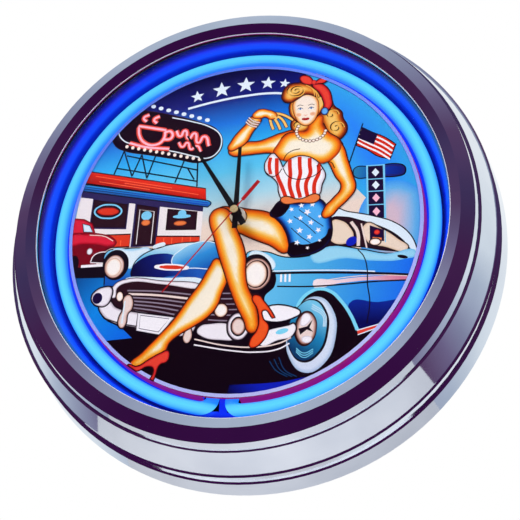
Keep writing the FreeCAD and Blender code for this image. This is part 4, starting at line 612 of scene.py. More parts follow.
def print_signs():
    """The lit board with its cup and its truss, the sign on a pole, and the striped banner."""
    board = Print("dial_print_signs")
    board.drawn("board", [(-121, 104), (-106, 114), (-90, 111), (-62, 103), (-38, 94), (-24, 86), (-18, 73),
                          (-22, 61), (-34, 54.5), (-60, 59.5), (-85, 65.5), (-107, 71), (-117, 77),
                          (-122, 90)], inset=4)
    board.line("pale", 1.1, [(-116, 104), (-116, 92), (-110, 82), (-98, 77), (-85, 73), (-60, 66.5),
                             (-40, 60), (-31, 58), (-23, 62), (-19, 71), (-21, 81), (-30, 89), (-48, 96.5),
                             (-66, 102)])
    cup = [(-97, 96, 1), (-71, 89.5, 1), (-73, 79), (-80, 75), (-89, 77.5), (-95, 85)]
    for ink, width in (("ribbon", 4.6), ("tube_pink", 2.0)):
        board.line(ink, width, cup, closed=True)
        board.line(ink, width, [(-72.5, 87), (-66, 87.5), (-65, 81), (-73.5, 80)])
        board.line(ink, width, [(-104, 79), (-88, 73.5), (-66, 70)])
        board.line(ink, width, [(-90, 100), (-93, 104), (-88, 107)])
        board.line(ink, width, [(-80, 97.5), (-83, 101.5), (-78, 104.5)])
        board.line(ink, width, [(-61, 88), (-57, 82), (-53, 87.5), (-49, 79), (-44, 84), (-40, 74), (-35, 80),
                                (-30, 70)])
        board.line(ink, width * 0.8, [(-58, 76), (-54, 71), (-50, 75), (-46, 68), (-41, 71), (-37, 65)])
    for k in range(13):
        board.oval("bulb", -106 + 5.7 * k, 75.4 - 1.5 * k, 1.5, 1.7)
    for run in (((-108, 71), (-115, 48)), ((-108, 71), (-98, 45)), ((-98, 45), (-91, 66)),
                ((-91, 66), (-84, 42)), ((-84, 42), (-78, 64)), ((-58, 36), (-51, 58)),
                ((-39, 55), (-38, 31)), ((-105, 66), (-39, 47)), ((-113, 54), (-38, 36)),
                ((-48, 50), (-41, 38))):
        board.line("truss", 1.3, sharp(*run))
    board.drawn("arm", [(96, 39.5), (106, 40, 1), (106, 29.5, 1), (96, 30.5), (94, 35)], pen="line")
    board.drawn("arm", [(118, 40.5, 1), (130, 40.6), (134.6, 38.6), (136, 35), (134.4, 31), (130, 29.6),
                        (118, 29.5, 1)], pen="line", line=1.2)
    board.line("violet", 0.6, [(119, 39), (129.5, 39), (133.4, 37.4), (134.4, 35), (133, 32), (129.5, 31),
                               (119, 31)])
    board.fill("cyan", sharp((104.6, 41), (119.6, 41), (119.6, -24), (104.6, -24)))
    board.fill("panel", sharp((106, 40), (118, 40), (118, -24), (106, -24)))
    for y in (28, 17, 5, -7):
        board.line("cyan", 0.8, sharp((106, y), (118, y)))
    for y, ink in ((34, "pale"), (22.5, "pale"), (11, "tube_pink"), (-1, "tube_pink"), (-14, "ribbon")):
        board.fill(ink, sharp((112, y + 3.8), (115, y), (112, y - 3.8), (109, y)))
    board.line("truss", 1.0, sharp((102.5, 81), (90, 41)))
    banner = [(101.5, 77.5, 1), (110, 72), (120, 66.5), (129, 59, 1), (124, 45.5, 1), (114, 49), (105, 56),
              (97, 60, 1)]
    board.drawn("stripe", banner, pen="line")
    for drop in (2.4, 6.4, 10.4, 14.0):
        board.line("white", 1.5, [(101.5 - drop * 0.27, 77.5 - drop), (110 - drop * 0.3, 72 - drop),
                                  (120 - drop * 0.32, 66.0 - drop), (128 - drop * 0.3, 59.2 - drop)])
    board.fill("panel", [(101.5, 77.5, 1), (108, 73), (114.5, 69.5, 1), (111, 60, 1), (104, 64),
                         (98.8, 67, 1)])
    board.finish()


def print_diner():
    """The diner's front: roof, awning, windows and door."""
    diner = Print("dial_print_diner")
    diner.fill("wall", sharp((-144, 34), (-31, 12), (-31, -22), (-146, -22)))
    diner.fill("violet", sharp((-143, 33), (-31, 11.5), (-31, 7), (-143, 27)))
    diner.drawn("roof", sharp((-140, 53), (-30, 28.5), (-29, 17.5), (-141, 41)), pen="line", line=1.0)
    for offset, start, end in ((-3.2, -132, -60), (-5.6, -104, -36), (-8, -128, -80)):
        diner.line("streak", 0.7, sharp((start, 51.5 - (start + 136) * 0.227 + offset),
                                        (end, 51.5 - (end + 136) * 0.227 + offset)))
    diner.drawn("awning", [(-142, 40, 1), (-27, 17, 1), (-24.5, 14.5), (-27, 11, 1), (-142, 33, 1)],
                pen="line", line=1.0)
    for offset in (-2.1, -4.2):
        diner.line("kerb", 0.6, sharp((-141, 39.6 + offset), (-27, 17 + offset)))
    diner.drawn("glazing", sharp((-131, 25), (-98, 18.5), (-98, -5), (-131, -3)), inset=2, pen="violet",
                line=1.6)
    diner.oval("cyan", -116, 12, 13.2, 7.2, -4)
    diner.oval("glazing", -116, 12, 11.6, 5.8, -4)
    diner.oval("red", -116, 12, 10, 3.6, -4, inset=1.2)
    diner.drawn("glazing", sharp((-91, 18), (-70, 13.5), (-70, -22), (-91, -22)), inset=2, pen="violet",
                line=1.8)
    diner.line("wall", 0.7, sharp((-87, -20), (-87, 12), (-74, 9.5), (-74, -20)))
    diner.oval("cyan", -80.5, 6, 4.6, 4.2)
    diner.oval("orange", -80.5, -0.5, 3.9, 2.8, inset=1)
    diner.drawn("glazing", sharp((-62, 11), (-36, 7), (-36, -9), (-62, -8)), inset=2, pen="brown", line=1.2)
    diner.oval("cyan", -49, 6.2, 3.6, 3.4)
    diner.oval("cyan", -49, 3.6, 7.8, 1.7)
    diner.oval("orange", -50, -2.6, 5.6, 2.2, inset=1)
    diner.drawn("brick", sharp((-126, -10), (-93, -10.5), (-93, -22), (-126, -22)), pen="line", line=1.2)
    diner.drawn("brick", sharp((-70, -13.5), (-32, -15.5), (-32, -22), (-70, -22)), pen="line", line=1.2)
    for x in (-119, -108, -101, -63, -56, -47, -40):
        diner.line("streak", 0.8, sharp((x, -15.5), (x, -21)))
    diner.finish()


def print_red_car():
    """The front half of a red car beside the diner."""
    car = Print("dial_print_red_car")
    car.fill("deep_red", [(-147, -9), (-136, -8), (-118, -10), (-108, -13.5), (-105, -19), (-112, -24),
                          (-120, -30), (-122, -42), (-147, -42)], 2)
    car.drawn("crimson", [(-147, -8), (-136, -7.5), (-118, -9.5), (-109, -13), (-105, -18.5), (-111, -21.5),
                          (-122, -19.5), (-136, -18.5), (-147, -19)], inset=3, pen="deep_red")
    car.line("ember", 0.8, [(-130, -9.5), (-116, -11.5), (-108, -16)])
    car.drawn("crimson", sharp((-147, 7), (-137, 5.5), (-129, 1), (-125, -8), (-147, -8)), inset=2,
              pen="deep_red")
    car.drawn("gleam", sharp((-138, 1.5), (-131, -0.5), (-127.5, -7), (-136, -6.5)), inset=1.5, pen="line")
    car.fill("line", sharp((-143, -39), (-110, -39), (-110, -49), (-140, -48.5)))
    car.oval("line", -141, -36, 4.5, 8, inset=1)
    car.oval("chrome", -128, -24.8, 2.6, 3.1, inset=1)
    car.drawn("glazing", [(-126, -35, 1), (-124, -29), (-118, -26), (-112, -26, 1), (-112, -36, 1)],
              pen="chrome")
    car.line("white", 2.4, sharp((-134, -38.2), (-112, -37.6)))
    car.finish()


def print_blue_car():
    """The blue car, from its cabin forward to its bumper."""
    car = Print("dial_print_blue_car")
    # cabin
    car.drawn("gleam", [(76, 3), (90, 0), (110, -5), (127, -12), (138, -23), (143, -37, 1), (138, -36, 1),
                        (130, -25), (116, -15), (98, -9), (78, -6)], pen="line", line=1.0)
    car.fill("glazing", [(70, -30, 1), (76, -5), (86, -4), (100, -8), (117, -15), (130, -25), (138, -37, 1),
                         (118, -35), (98, -31)], 2)
    car.drawn("peach", [(77, -7), (85, -7.5), (91, -13), (94, -23), (88, -28), (75, -24)], inset=2,
              pen="line")
    car.fill("kerb", [(88, -28), (95, -22), (95, -28)])
    car.drawn("peach", [(103, -11), (116, -16), (128, -25), (135.5, -34), (116, -31.5), (105, -28)], inset=2,
              pen="line")
    car.fill("panel", sharp((106.5, -12.8), (117.5, -17.3), (117.5, -27), (106.5, -25)))
    car.line("cyan", 0.8, sharp((118.4, -18), (118.4, -28)))
    car.oval("ribbon", 112, -19, 2.4, 2.2, inset=1)
    car.line("orange", 2.0, sharp((108.5, -24), (115.5, -25)))
    car.line("ember", 2.6, [(92, -9), (97, -18), (97.5, -30)])
    car.line("ember", 1.2, [(100, -11), (104, -32)])
    car.oval("line", 110.5, -27.2, 4.9, 3.4)
    car.oval("lamp", 110.5, -27.2, 4.0, 2.6, inset=1)
    # flank
    car.drawn("flank", [(8, -34), (22, -31.5), (40, -37), (60, -36.5), (72, -33), (78, -30), (100, -33),
                        (118, -37), (143, -37, 1), (148, -42, 1), (144, -54), (136, -66), (126, -80),
                        (112, -94, 1), (96, -98, 1), (92, -88), (85, -76), (76, -68), (67, -65.5), (58, -69),
                        (52, -77), (46, -79.5), (26, -79.5, 1), (24, -70), (32, -60), (30, -47), (20, -40)],
              pen="line", line=1.0)
    car.fill("sheen", [(70, -30.5), (100, -33.5), (118, -37.5), (142, -38), (132, -42.5), (110, -43),
                       (88, -40), (60, -39)], 2)
    car.fill("gleam", [(10, -33.5), (24, -33), (31, -47), (26, -44), (20, -38)], 1)
    car.fill("shade_blue", [(90, -77), (112, -76.5), (129, -74, 1), (119, -88), (110, -95, 1), (96, -98, 1)])
    car.line("gleam", 1.0, [(30, -48.6), (60, -49), (92, -50.4), (110, -51.8)])
    car.line("line", 1.9, [(31, -50.4), (60, -50.9), (92, -52.2), (120, -54), (138, -55.6)])
    car.fill("spear", [(62, -60.6), (82, -57.6), (104, -55.9), (136, -57.0), (136, -58.8), (104, -58.8),
                       (84, -60.2)])
    car.line("line", 1.2, [(34, -61.5), (60, -62.4), (88, -61.4), (110, -60.0), (136, -59.6)])
    car.line("ember", 0.6, [(72, -57.6), (92, -55.4), (112, -54.8), (134, -56.2)])
    for x in (37, 40.4, 43.8):
        car.line("white", 1.6, sharp((x, -51.5), (x, -58)))
    car.line("line", 0.9, [(97, -33), (101.5, -39), (104, -50), (104, -62), (105.5, -76), (103, -93)])
    car.oval("line", 131, -40.5, 4, 1.4, -12)
    car.drawn("ribbon", sharp((95, -98.5), (113, -93.5), (111, -96.5), (95.5, -102)), pen="gleam", line=0.8)
    # wheel and arch
    car.fill("night", [(50, -82), (56, -72), (67, -66), (77, -70), (86, -80), (93, -92), (96, -104),
                       (88, -116), (74, -126), (58, -132), (44, -130), (38, -118), (42, -106), (50, -98)], 3)
    car.line("arch", 2.6, [(50, -79), (54, -72), (60, -67), (67, -64.6), (76, -67), (84, -75), (91, -86),
                           (96, -98)])
    car.oval("tread", 61.5, -100.5, 18.5, 30, -9, inset=3)
    car.oval("line", 59, -97.5, 15.4, 25.2, -9)
    car.oval("disc", 58.4, -97.2, 14.2, 23.8, -9)
    for reach in (20, 18.4, 16.8):
        car.line("gleam", 0.5, [(58 + reach * 0.2, -97 + reach), (61 + reach * 0.55, -97 + reach * 0.6),
                                (60 + reach * 0.62, -95)])
        car.line("arch", 0.6, [(50, -97 - reach * 0.85), (56, -97 - reach * 1.08), (63, -97 - reach * 0.9)])
    car.oval("brown", 57, -96, 8.6, 14, -6)
    car.oval("ember", 57.4, -96, 7.6, 12.6, -6, inset=2.5)
    car.fill("white", [(53, -90), (57, -84), (61, -87), (59, -92), (54, -94)], 1)
    car.fill("line", sharp((51.5, -96), (58, -94.5), (62.5, -89), (60, -95.5), (63, -99), (58, -97),
                           (53, -101)))
    car.fill("white", [(54, -104), (58, -102), (62, -104), (58, -107.5)], 1)
    for sweep in (0, 3.5, 7):
        car.line("disc", 0.8, [(30 + sweep, -121 + sweep * 0.4), (35 + sweep, -128), (44 + sweep, -133)])
    # bonnet
    car.drawn("hood", [(-113, -26.5), (-100, -24), (-84, -23.5), (-70, -25), (-58, -22), (-36, -20.5),
                       (-14, -22), (0, -30), (6, -44), (0, -58), (-28, -59), (-60, -54.5), (-92, -52),
                       (-102, -57, 1), (-111, -57, 1), (-112, -42)], pen="line", line=1.0)
    car.fill("gleam", [(-108, -26), (-90, -25), (-74, -26), (-82, -31), (-86, -38), (-90, -42),
                       (-98, -32)], 2)
    car.fill("recess", [(-88, -49), (-88, -41), (-80, -33), (-66, -29.5), (-54, -31), (-46, -36), (-22, -38),
                        (-20, -50), (-50, -49.5)])
    car.drawn("bulge", [(-53, -40), (-54, -34), (-48, -27.5), (-38, -22), (-20, -21.5), (-10, -30),
                        (-14, -42), (-34, -43.5)], pen="gleam", line=0.8)
    car.fill("gleam", [(-72, -24), (-68, -20.5), (-61, -21), (-66, -23.5)])
    car.line("line", 1.0, [(-88, -49), (-87, -38), (-80, -30), (-70, -25)])
    car.fill("gleam", [(-92, -50), (-60, -51), (-26, -55), (-28, -57.5), (-60, -53.6), (-93, -51.8)])
    car.oval("white", -54, -42, 15, 2.9, -4)
    car.oval("red", -54, -42, 10.5, 1.7, -4)
    # left lamp
    car.oval("line", -103, -38, 11.5, 13.6, 6)
    car.oval("ember", -104, -39.4, 8.6, 10.2, 4, inset=1.5)
    car.oval("lamp", -104.6, -40, 6.9, 8.2, 4, inset=2)
    # grille
    car.fill("glazing", [(-103, -60), (-98, -53), (-60, -56), (-20, -60), (10, -58), (22, -70), (24, -84),
                         (18, -96), (-20, -96), (-42, -94), (-60, -84), (-80, -82), (-97, -77),
                         (-104, -68)], 2)
    car.drawn("chrome", [(-104, -66), (-103, -57), (-95, -51.5), (-60, -53.6), (-28, -58.6), (-29, -61),
                         (-60, -57), (-93, -55), (-99, -59), (-100, -67)], inset=1.2, pen="brown", line=0.6)
    for k in range(7):
        car.line("grille" if k != 1 else "ember", 1.2 if k != 1 else 1.8,
                 [(-90 + 1.4 * k, -61 - 3.0 * k), (-64, -62.5 - 3.3 * k), (-33 - 3.0 * k, -66.5 - 3.2 * k)])
        car.line("grille", 1.0, [(-30 + 2 * k, -65 - 4.5 * k), (-8, -66 - 4.5 * k), (14, -66 - 4.5 * k)])
    car.oval("line", -96, -66, 3.8, 5.2, 8)
    car.oval("lamp", -96, -66, 2.7, 4.0, 8, inset=1)
    car.oval("brown", -10, -80, 6.2, 6.4)
    car.oval("lamp", -10, -80, 5.0, 5.3, inset=1.6)
    # right lamp
    car.oval("line", 16, -50, 13.6, 16.4)
    car.oval("ember", 17, -50.5, 11.6, 13.4, inset=2)
    car.oval("brown", 17, -50.5, 9.8, 11.8)
    car.oval("lamp", 16.6, -50.5, 8.6, 10.8, inset=2.4)
    # bumper
    car.drawn("chrome", [(-113, -73), (-105, -69), (-98, -75), (-80, -79.5), (-50, -84), (-30, -90),
                         (-34, -99), (-60, -96), (-84, -92), (-100, -88), (-110, -81)], inset=2.4,
              pen="line", line=1.2)
    car.line("line", 0.9, [(-108, -84), (-92, -89), (-72, -92.6), (-50, -96)])
    car.drawn("chrome", [(-121, -66), (-118, -60.5), (-110, -57), (-104, -58), (-103, -66), (-107, -73.5),
                         (-114, -74), (-119, -71)], inset=2, pen="line", line=1.2)
    car.oval("panel", -115.4, -67, 4.2, 4.8, inset=1.4)
    car.drawn("ember", [(-92.5, -67), (-88.5, -64.4), (-85, -67), (-84, -77), (-87, -81), (-88, -90),
                        (-91, -93.2), (-94.5, -91), (-95, -84), (-92.5, -77)], inset=1.8, pen="line",
              line=1.0)
    car.line("gleam", 1.3, [(-91, -70), (-91.4, -80), (-91.6, -89)])
    car.drawn("white", sharp((-79, -80), (-48, -84.5), (-58, -99.5), (-79, -95.5)), inset=1.5, pen="line",
              line=1.2)
    car.line("violet", 0.6, sharp((-76.5, -82.5), (-52, -86), (-60, -96.6), (-76.5, -93.4)), closed=True)
    car.drawn("chrome", [(-29, -97), (-26, -92), (-20, -90.5), (0, -93), (4, -102), (-10, -104.5),
                         (-26, -100.5)], inset=1.6, pen="line", line=1.2)
    car.drawn("ember", [(-38.5, -97), (-35.5, -92), (-32.5, -96), (-33, -104), (-36, -106.5), (-39.5, -103)],
              inset=1.5, pen="line", line=0.9)
    for wide, ink in ((9.6, "line"), (8.4, "chrome"), (6.2, "line"), (5.2, "ember")):
        car.oval(ink, 4.5, -93.4, wide, wide * 1.28, 4, inset=1.4)
    car.drawn("white", [(22, -81), (50, -80), (53, -83.5), (50, -86.5), (26, -89.5), (22, -86)], inset=1.2,
              pen="line", line=1.2)
    car.drawn("white", [(25, -98), (44, -93), (48.5, -92), (47.5, -101.5), (36, -105.5), (22, -109),
                        (20, -102)], inset=1.6, pen="line", line=1.2)
    car.oval("arch", 39, -98, 5, 2, 15)
    car.line("ember", 1.1, [(-30, -103), (-5, -108.5), (20, -110), (38, -107), (46, -103)])
    car.line("chrome", 1.1, [(-30, -107.5), (0, -112.6), (18, -114), (36, -112), (45, -107.5)])
    car.finish()


def print_figure():
    """The seated figure: legs, shorts, hair, arms, striped top, beads and head."""
    figure = Print("dial_print_figure")
    # far leg and its shoe
    figure.drawn("skin", [(-17, -36), (-12, -38), (-7, -43), (-6, -54), (-10, -66), (-13, -76), (-20, -85),
                          (-30, -92), (-42, -99), (-50, -106), (-53, -113), (-64, -119), (-74, -125.5),
                          (-81, -124), (-72, -113), (-60, -100), (-48, -86), (-38, -70), (-28, -55),
                          (-22, -43)], 6)
    # near leg: thigh, then shin
    figure.drawn("skin", [(-18, 8.5), (-4, 9.5), (8, 7), (24, 3.5), (33, -2), (39, -10), (42.5, -20),
                          (42, -33), (26, -26), (10, -19), (0, -14), (-8, -12), (-18, -4)], 10)
    figure.drawn("skin", [(-24.5, 3), (-20, 8.5), (-12, 9), (-6, 3), (-1, -10), (5, -24), (8, -36),
                          (8.5, -48), (10.5, -60), (16, -72), (20, -86), (19.5, -97), (14, -99), (8, -88),
                          (2, -77), (-4, -63), (-10, -47), (-15, -33), (-20, -17), (-24.5, -4)], 8)
    figure.drawn("shoe", [(15, -69), (20, -68.5), (24, -73), (30, -81), (33.5, -87, 1), (31, -87.5, 1),
                          (24, -81), (24, -87), (28.5, -93), (28, -99), (24, -106), (18, -110.5),
                          (14.5, -110), (14.5, -104), (19, -97), (20.5, -90), (19, -80)], 1.6)
    # shorts
    figure.drawn("navy", [(35, 13), (50, 10.5), (66, 13), (74, 3), (76.5, -8), (77, -18), (74, -27),
                          (66, -33.5), (54, -36.5), (43, -35.5), (42.5, -26), (38, -12), (31, -3),
                          (26.5, 0.5), (29, 7)], 7, pen="line", line=1.0)
    for fold in ([(46, -2), (54, -8), (64, -18)], [(50, 4), (60, -4), (70, -12)],
                 [(44, -12), (52, -20), (60, -26)]):
        figure.line("panel", 0.7, fold)
    figure.fill("night", [(35.5, 12), (42, 10.5), (40, 3), (33, -2), (27.5, 1), (29.5, 7)], 1)
    figure.fill("night", [(43.5, -34.5), (54, -35.5), (65, -32.5), (73, -26), (75.5, -14), (72, -20),
                          (64, -25), (54, -27), (44, -25)])
    for x, y, size in ((44, 4.5, 2.2), (52, 7.5, 2.6), (61, 8, 2.6), (57, 1.5, 3.2), (43, -6, 2.6),
                       (51.5, -3.5, 2.4), (60, -8, 2.8), (67, -3, 1.8), (51, -14.5, 3.0), (66, -15, 2.6),
                       (59, -20.5, 2.8), (49, -25, 2.6), (67, -24, 1.6), (57.5, -30, 1.7)):
        figure.star("white", x, y, size, x * 7)
    # far hair, neck and shoulders
    figure.drawn("hair", [(66, 108), (74, 110), (79, 100), (85, 94), (86, 88), (89.5, 80), (88, 72),
                          (81, 66.5), (74, 70), (69, 80), (66, 92)], 7)
    figure.drawn("hair", [(47, 94), (43, 90), (41.5, 83), (45, 77), (52, 76.5), (58, 81), (57, 88)], 4.5)
    for middle, turns, reach in (((80, 79), 1.6, 6.4), ((76, 92), 1.2, 6.0), ((46.5, 84), 1.2, 3.6)):
        coil = [(middle[0] + reach * (1 - k / 14) * math.cos(math.tau * turns * k / 14),
                 middle[1] + reach * (1 - k / 14) * math.sin(math.tau * turns * k / 14)) for k in range(13)]
        figure.line("brown", 1.0, coil)
        figure.line("lock", 0.9, [(x + 0.9, y - 0.5) for x, y in coil])
    figure.drawn("skin", [(70, 63), (80, 68), (86, 61), (90, 47), (93.5, 34), (96, 20.5), (90, 11), (82, 3),
                          (76, -3.5), (69.5, -4), (71, 5), (77, 12), (84, 22.5), (79, 33), (75, 43),
                          (71, 51)], 6)
    figure.drawn("skin", [(46, 77.5), (34, 77.5), (24, 74), (14, 71), (5, 71), (-5, 69), (-12, 64), (-10, 59),
                          (4, 58), (14, 58.5), (24, 58.5), (31, 57), (40, 64)], 7)
    figure.drawn("skin", [(-12, 64), (-9.5, 74), (-4, 82), (3, 90), (6.5, 96), (15.5, 93), (13, 87),
                          (8.5, 80), (4, 71), (-2, 66)], 5)
    for finger in ([(23, 93), (24.3, 87.5), (26.5, 81.5)], [(26, 94), (29.6, 88), (32.6, 80.8)],
                   [(27, 96), (33.4, 91.4), (38.2, 82.6)], [(26, 98), (34.5, 95.4), (43.5, 89.4)]):
        figure.line("brown", 3.1, finger)
        figure.line("flesh", 2.1, finger)
    figure.drawn("skin", [(7.5, 96), (10, 101), (14, 103), (22, 101.5), (27, 99), (29.5, 95.5), (28, 92.5),
                          (24, 91.5), (19, 94.5), (15, 93.5)], 3.4, line=0.6)
    figure.line("flesh", 2.0, [(24, 95.5), (27, 94.2), (29.5, 92)])
    for shift in (0.0, 2.4, 4.8):
        middle = Vector((9.4, 92.3)) - Vector((0.52, 0.855)) * shift
        across, sag = Vector((0.855, -0.52)) * 5.9, Vector((0.52, 0.855)) * 1.2
        bangle = [(spot.x, spot.y) for spot in (middle - across, middle - sag, middle + across)]
        figure.line("brown", 2.0, bangle)
        figure.line("ember", 1.2, bangle)
    figure.fill("skin", [(57, 84), (68, 92), (69.5, 82), (75, 74), (82, 68.5), (84.5, 60), (79, 50), (70, 45),
                         (50, 50), (36, 50), (27, 58), (30, 66), (38, 76), (48, 78), (55, 78)], 9)
    figure.line("brown", 0.9, [(46, 77.6), (38, 76.2), (33.5, 72)])
    figure.line("brown", 0.9, [(69.5, 84), (74.5, 74.5), (82, 68.6), (86, 62)])
    figure.line("brown", 0.8, [(69.5, 45), (75.5, 46), (79, 40)])
    figure.line("brown", 0.8, [(36, 50), (38, 55), (43, 59), (50, 60.5)])
    # striped top
    figure.drawn("white", [(27, 58), (22, 53), (20, 46), (22, 39), (27, 35), (31.5, 29), (33, 20), (37, 13),
                           (50, 12), (66, 16), (69, 26), (71.5, 34), (68.5, 42), (63, 49), (55, 53.2),
                           (47, 53.6), (40, 50), (35.8, 44, 1), (33.5, 50), (30.5, 55)], 3, pen="brown",
                 line=1.0)
    figure.line("stripe", 2.9, [(25, 54), (24.2, 46), (25.6, 38)])
    for x, top, waist, foot in ((31.2, 53, 35, 39.5), (42.3, 51, 41.8, 45.2), (50.6, 53, 48.6, 51),
                                (59, 51, 55.5, 57), (66, 44, 62.5, 62.6)):
        figure.line("stripe", 3.3, [(x - 0.8, top), (x - 0.6, 44), (x, 37), (waist, 27), (foot, 14.5)])
    figure.line("brown", 0.8, [(22, 39.5), (26.5, 35.8), (31, 37), (35, 42.5)])
    figure.line("brown", 0.8, [(36, 43), (40, 35.6), (47, 32), (57, 32.4), (64.5, 35.6), (69.5, 41)])
    figure.drawn("orange", [(36, 16), (50, 13.5), (66, 16.5), (66.5, 12), (50, 10), (35, 12)], 1)
    # beads
    for k in range(15):
        turn = math.radians(150 + 14.5 * k)
        figure.oval("brown", 59 + 12.4 * math.cos(turn), 77.5 + 10.2 * math.sin(turn), 1.6, 1.6)
        figure.oval("lamp", 59 + 12.4 * math.cos(turn), 77.5 + 10.2 * math.sin(turn), 1.25, 1.25, inset=0.5)
    # head
    figure.drawn("hair", [(41, 108), (40, 98), (44, 90), (50, 86), (60, 88), (68, 96), (72, 106), (70, 118),
                          (62, 122), (50, 120)], 3.2)
    figure.drawn("face", [(55, 82.5), (60.5, 85.5), (64.5, 93), (65.6, 102), (64, 109), (59.5, 113.6),
                          (53.5, 115), (47.5, 113.2), (43.6, 108), (42.8, 101), (45.2, 92), (49.5, 85)], 4,
                 line=0.5)
    middle = Vector((54.2, 99.2))
    for side in (-1, 1):
        figure.oval("rose", middle.x + side * 6.2, middle.y - 5.2, 2.6, 1.9, inset=1.6)
        eye = middle + Vector((side * 4.7, 0.6))
        lid = [(eye.x - 2.3, eye.y - 0.2), (eye.x, eye.y + 1.1), (eye.x + 2.3, eye.y - 0.2),
               (eye.x, eye.y - 0.9)]
        figure.fill("white", lid)
        figure.oval("earring", eye.x, eye.y + 0.05, 0.85, 0.95, inset=0.3)
        figure.oval("line", eye.x, eye.y + 0.05, 0.38, 0.42)
        figure.line("line", 0.5, [(eye.x - 2.4, eye.y - 0.2), (eye.x, eye.y + 1.25),
                                  (eye.x + 2.4, eye.y - 0.1)])
        figure.line("brown", 0.55, [(eye.x - side * 2.6, eye.y + 3.0), (eye.x + side * 0.4, eye.y + 4.0),
                                    (eye.x + side * 3.0, eye.y + 2.9)])
    figure.line("orange", 0.45, [(middle.x - 1.5, middle.y - 5.6), (middle.x, middle.y - 6.3),
                                 (middle.x + 1.5, middle.y - 5.6)])
    lip = middle.y - 9.6
    figure.fill("lips", [(middle.x - 3.3, lip), (middle.x - 1.1, lip + 0.95), (middle.x, lip + 0.6),
                         (middle.x + 1.1, lip + 0.95), (middle.x + 3.3, lip), (middle.x, lip - 1.7)], 0.5)
    figure.line("brown", 0.25, [(middle.x - 3.2, lip), (middle.x, lip - 0.25), (middle.x + 3.2, lip)])
    # front roll, scarf and earring
    figure.drawn("hair", [(34, 110), (33.5, 118), (38, 125), (47, 127), (56, 125), (63, 119), (66, 110),
                          (61, 112), (54, 114), (47, 110), (41, 107)], 6)
    coil = [(45.6 + (1 - k / 20) * 8.4 * math.cos(2.4 * math.tau * k / 20 + 2.4),
             119 + (1 - k / 20) * 6.4 * math.sin(2.4 * math.tau * k / 20 + 2.4)) for k in range(19)]
    figure.line("brown", 1.0, coil)
    figure.line("lock", 1.1, [(x + 0.7, y - 0.9) for x, y in coil])
    for shift in (0, 3, 6):
        figure.line("lock", 0.8, [(54 + shift, 124 - shift * 0.6), (60 + shift * 0.8, 119 - shift),
                                  (62 + shift * 0.7, 112 - shift)])
    figure.drawn("ribbon", [(60, 124), (66, 124.5), (73, 119), (76.5, 109), (76, 99), (71, 96), (69.5, 104),
                            (66, 114)], 2.6)
    figure.drawn("ribbon", [(60, 124.5), (54, 124.5), (49.5, 128), (49, 133), (55, 133.5), (60, 128)], 1.6)
    figure.drawn("ribbon", [(61, 125), (66, 124), (71.5, 125.5), (73.5, 130), (68, 130), (63, 127)], 1.6)
    figure.oval("ribbon", 61, 126, 2.2, 2.4, inset=1)
    figure.oval("line", 70.6, 95.6, 3.4, 4.0)
    figure.oval("earring", 70.6, 95.6, 2.9, 3.5, inset=1.4)
    figure.finish()


def print_rim():
    """The pale border, and the toe and heel that are printed across it."""
    rim = Print("dial_print_rim")
    Print.height += 1
    loops = []
    for reach in (145.8, PRINT_RADIUS):
        ring = [(reach * math.cos(math.tau * k / 96), reach * math.sin(math.tau * k / 96)) for k in range(96)]
        verts = [rim.shape.verts.new(rim.laid(Vector((x * MM, 0, y * MM)))) for x, y in ring]
        for vertex in verts:
            vertex[rim.depth] = 1.0
        loops += [rim.shape.edges.new(pair) for pair in zip(verts, verts[1:] + verts[:1])]
    rim.ink(bmesh.ops.bridge_loops(rim.shape, edges=loops)["faces"], "rim")
    rim.drawn("ribbon", [(-83, -123), (-75, -124), (-66, -119), (-56, -113.5), (-50.5, -112), (-49, -116),
                         (-51, -121), (-56, -123), (-59, -132), (-61, -138, 1), (-64, -136, 1), (-61.5, -126),
                         (-66, -124.5), (-74, -128), (-82, -127.5)], 1.6)
    rim.finish()


print_sky()
print_signs()
print_diner()
print_red_car()
print_blue_car()
print_figure()
print_rim()


# ------------------------------------------------------------------ camera, light and floor

def add_camera():
    """A camera in front of the clock, low and to its right, looking up at it."""
    camera_data = bpy.data.cameras.new("camera")
    camera_data.sensor_width = 36
    camera_data.lens = 49.94
    camera_data.clip_start = 0.01
    camera = bpy.data.objects.new("camera", camera_data)
    bpy.context.collection.objects.link(camera)
    ahead = Vector((-0.1990, 0.9069, 0.3713)).normalized()
    right = Vector((0.9792, 0.1990, 0.0388)).normalized()
    up = right.cross(ahead)
    turn = Matrix((right, up, -ahead)).transposed().to_4x4()
    place = Matrix.Translation((0.1339, -0.5670, -0.2521))
    camera.matrix_world = place @ turn
    bpy.context.scene.camera = camera
    bpy.context.scene.view_settings.view_transform = "Standard"


def add_light(name, place, size, power, colour):
    """A round soft light aimed at the clock. The chrome doesn't mirror it."""
    light = bpy.data.lights.new(name, "AREA")
    light.shape = "DISK"
    light.size = size
    light.energy = power
    light.color = linear(colour)[:3]
    lamp = bpy.data.objects.new(name, light)
    bpy.context.collection.objects.link(lamp)
    lamp.location = place
    lamp.rotation_euler = (-Vector(place)).to_track_quat("-Z", "Y").to_euler()
    lamp.visible_glossy = False


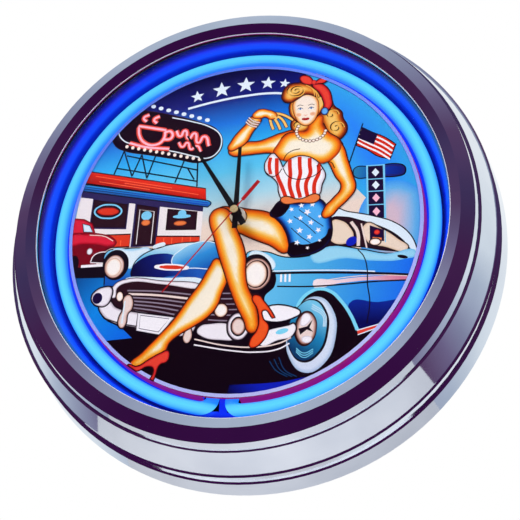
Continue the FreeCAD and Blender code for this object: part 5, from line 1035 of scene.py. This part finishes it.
def add_room():
    """A room that the camera sees as white. What lights and mirrors is pale behind and above the clock, and
    violet in front of it and below."""
    world = bpy.data.worlds.new("studio")
    world.use_nodes = True
    bpy.context.scene.world = world
    tree = world.node_tree
    tree.nodes.clear()
    way = tree.nodes.new("ShaderNodeTexCoord").outputs["Generated"]
    dark_side = Vector((0, -0.75, -0.66)).normalized()
    facing = node(tree, "ShaderNodeVectorMath", {"operation": "DOT_PRODUCT", 1: dark_side}, n0=way)
    share = node(tree, "ShaderNodeMapRange", {1: -1.0, 2: 1.0}, Value=facing.outputs["Value"]).outputs[0]
    stops = [(0.0, "#f8fbfd"), (0.24, "#e6eef5"), (0.31, "#bcc7d8"), (0.36, "#aab2c8"), (0.41, "#9092ae"),
             (0.46, "#786c90"), (0.52, "#5c4268"), (0.62, "#463860"), (0.72, "#47244f"), (0.9, "#3a1044")]
    ramp = node(tree, "ShaderNodeValToRGB", {"stops": stops}, Fac=share)
    seen = node(tree, "ShaderNodeBackground", {"Color": linear("#ffffff"), "Strength": 1.0})
    lighting = node(tree, "ShaderNodeBackground", {"Strength": 1.0}, Color=ramp.outputs[0])
    ray = tree.nodes.new("ShaderNodeLightPath")
    mix = node(tree, "ShaderNodeMixShader", {}, Fac=ray.outputs["Is Camera Ray"], n1=lighting.outputs[0],
               n2=seen.outputs[0])
    output = tree.nodes.new("ShaderNodeOutputWorld")
    tree.links.new(mix.outputs[0], output.inputs["Surface"])


def add_floor():
    """A pale painted floor, well below the clock."""
    mesh = bpy.data.meshes.new("floor")
    shape = bmesh.new()
    middle = Matrix.Translation((0, 0.5, -0.9))
    bmesh.ops.create_grid(shape, x_segments=1, y_segments=1, size=1.4, matrix=middle)
    shape.to_mesh(mesh)
    shape.free()
    floor = bpy.data.objects.new("floor", mesh)
    bpy.context.collection.objects.link(floor)
    mesh.materials.append(mottled("pale_floor", "#e9e9ea", "#efeff0", 400, (0.7, 0.8), 5, 0))


add_camera()
add_room()
add_floor()
add_light("key", (-0.7, -1.3, 1.1), size=0.9, power=30, colour="#fffaf2")
add_light("fill", (0.9, -1.2, 0.2), size=1.1, power=12, colour="#f2f6ff")
add_light("below", (0.1, -0.9, -0.8), size=0.9, power=3, colour="#f2f6ff")
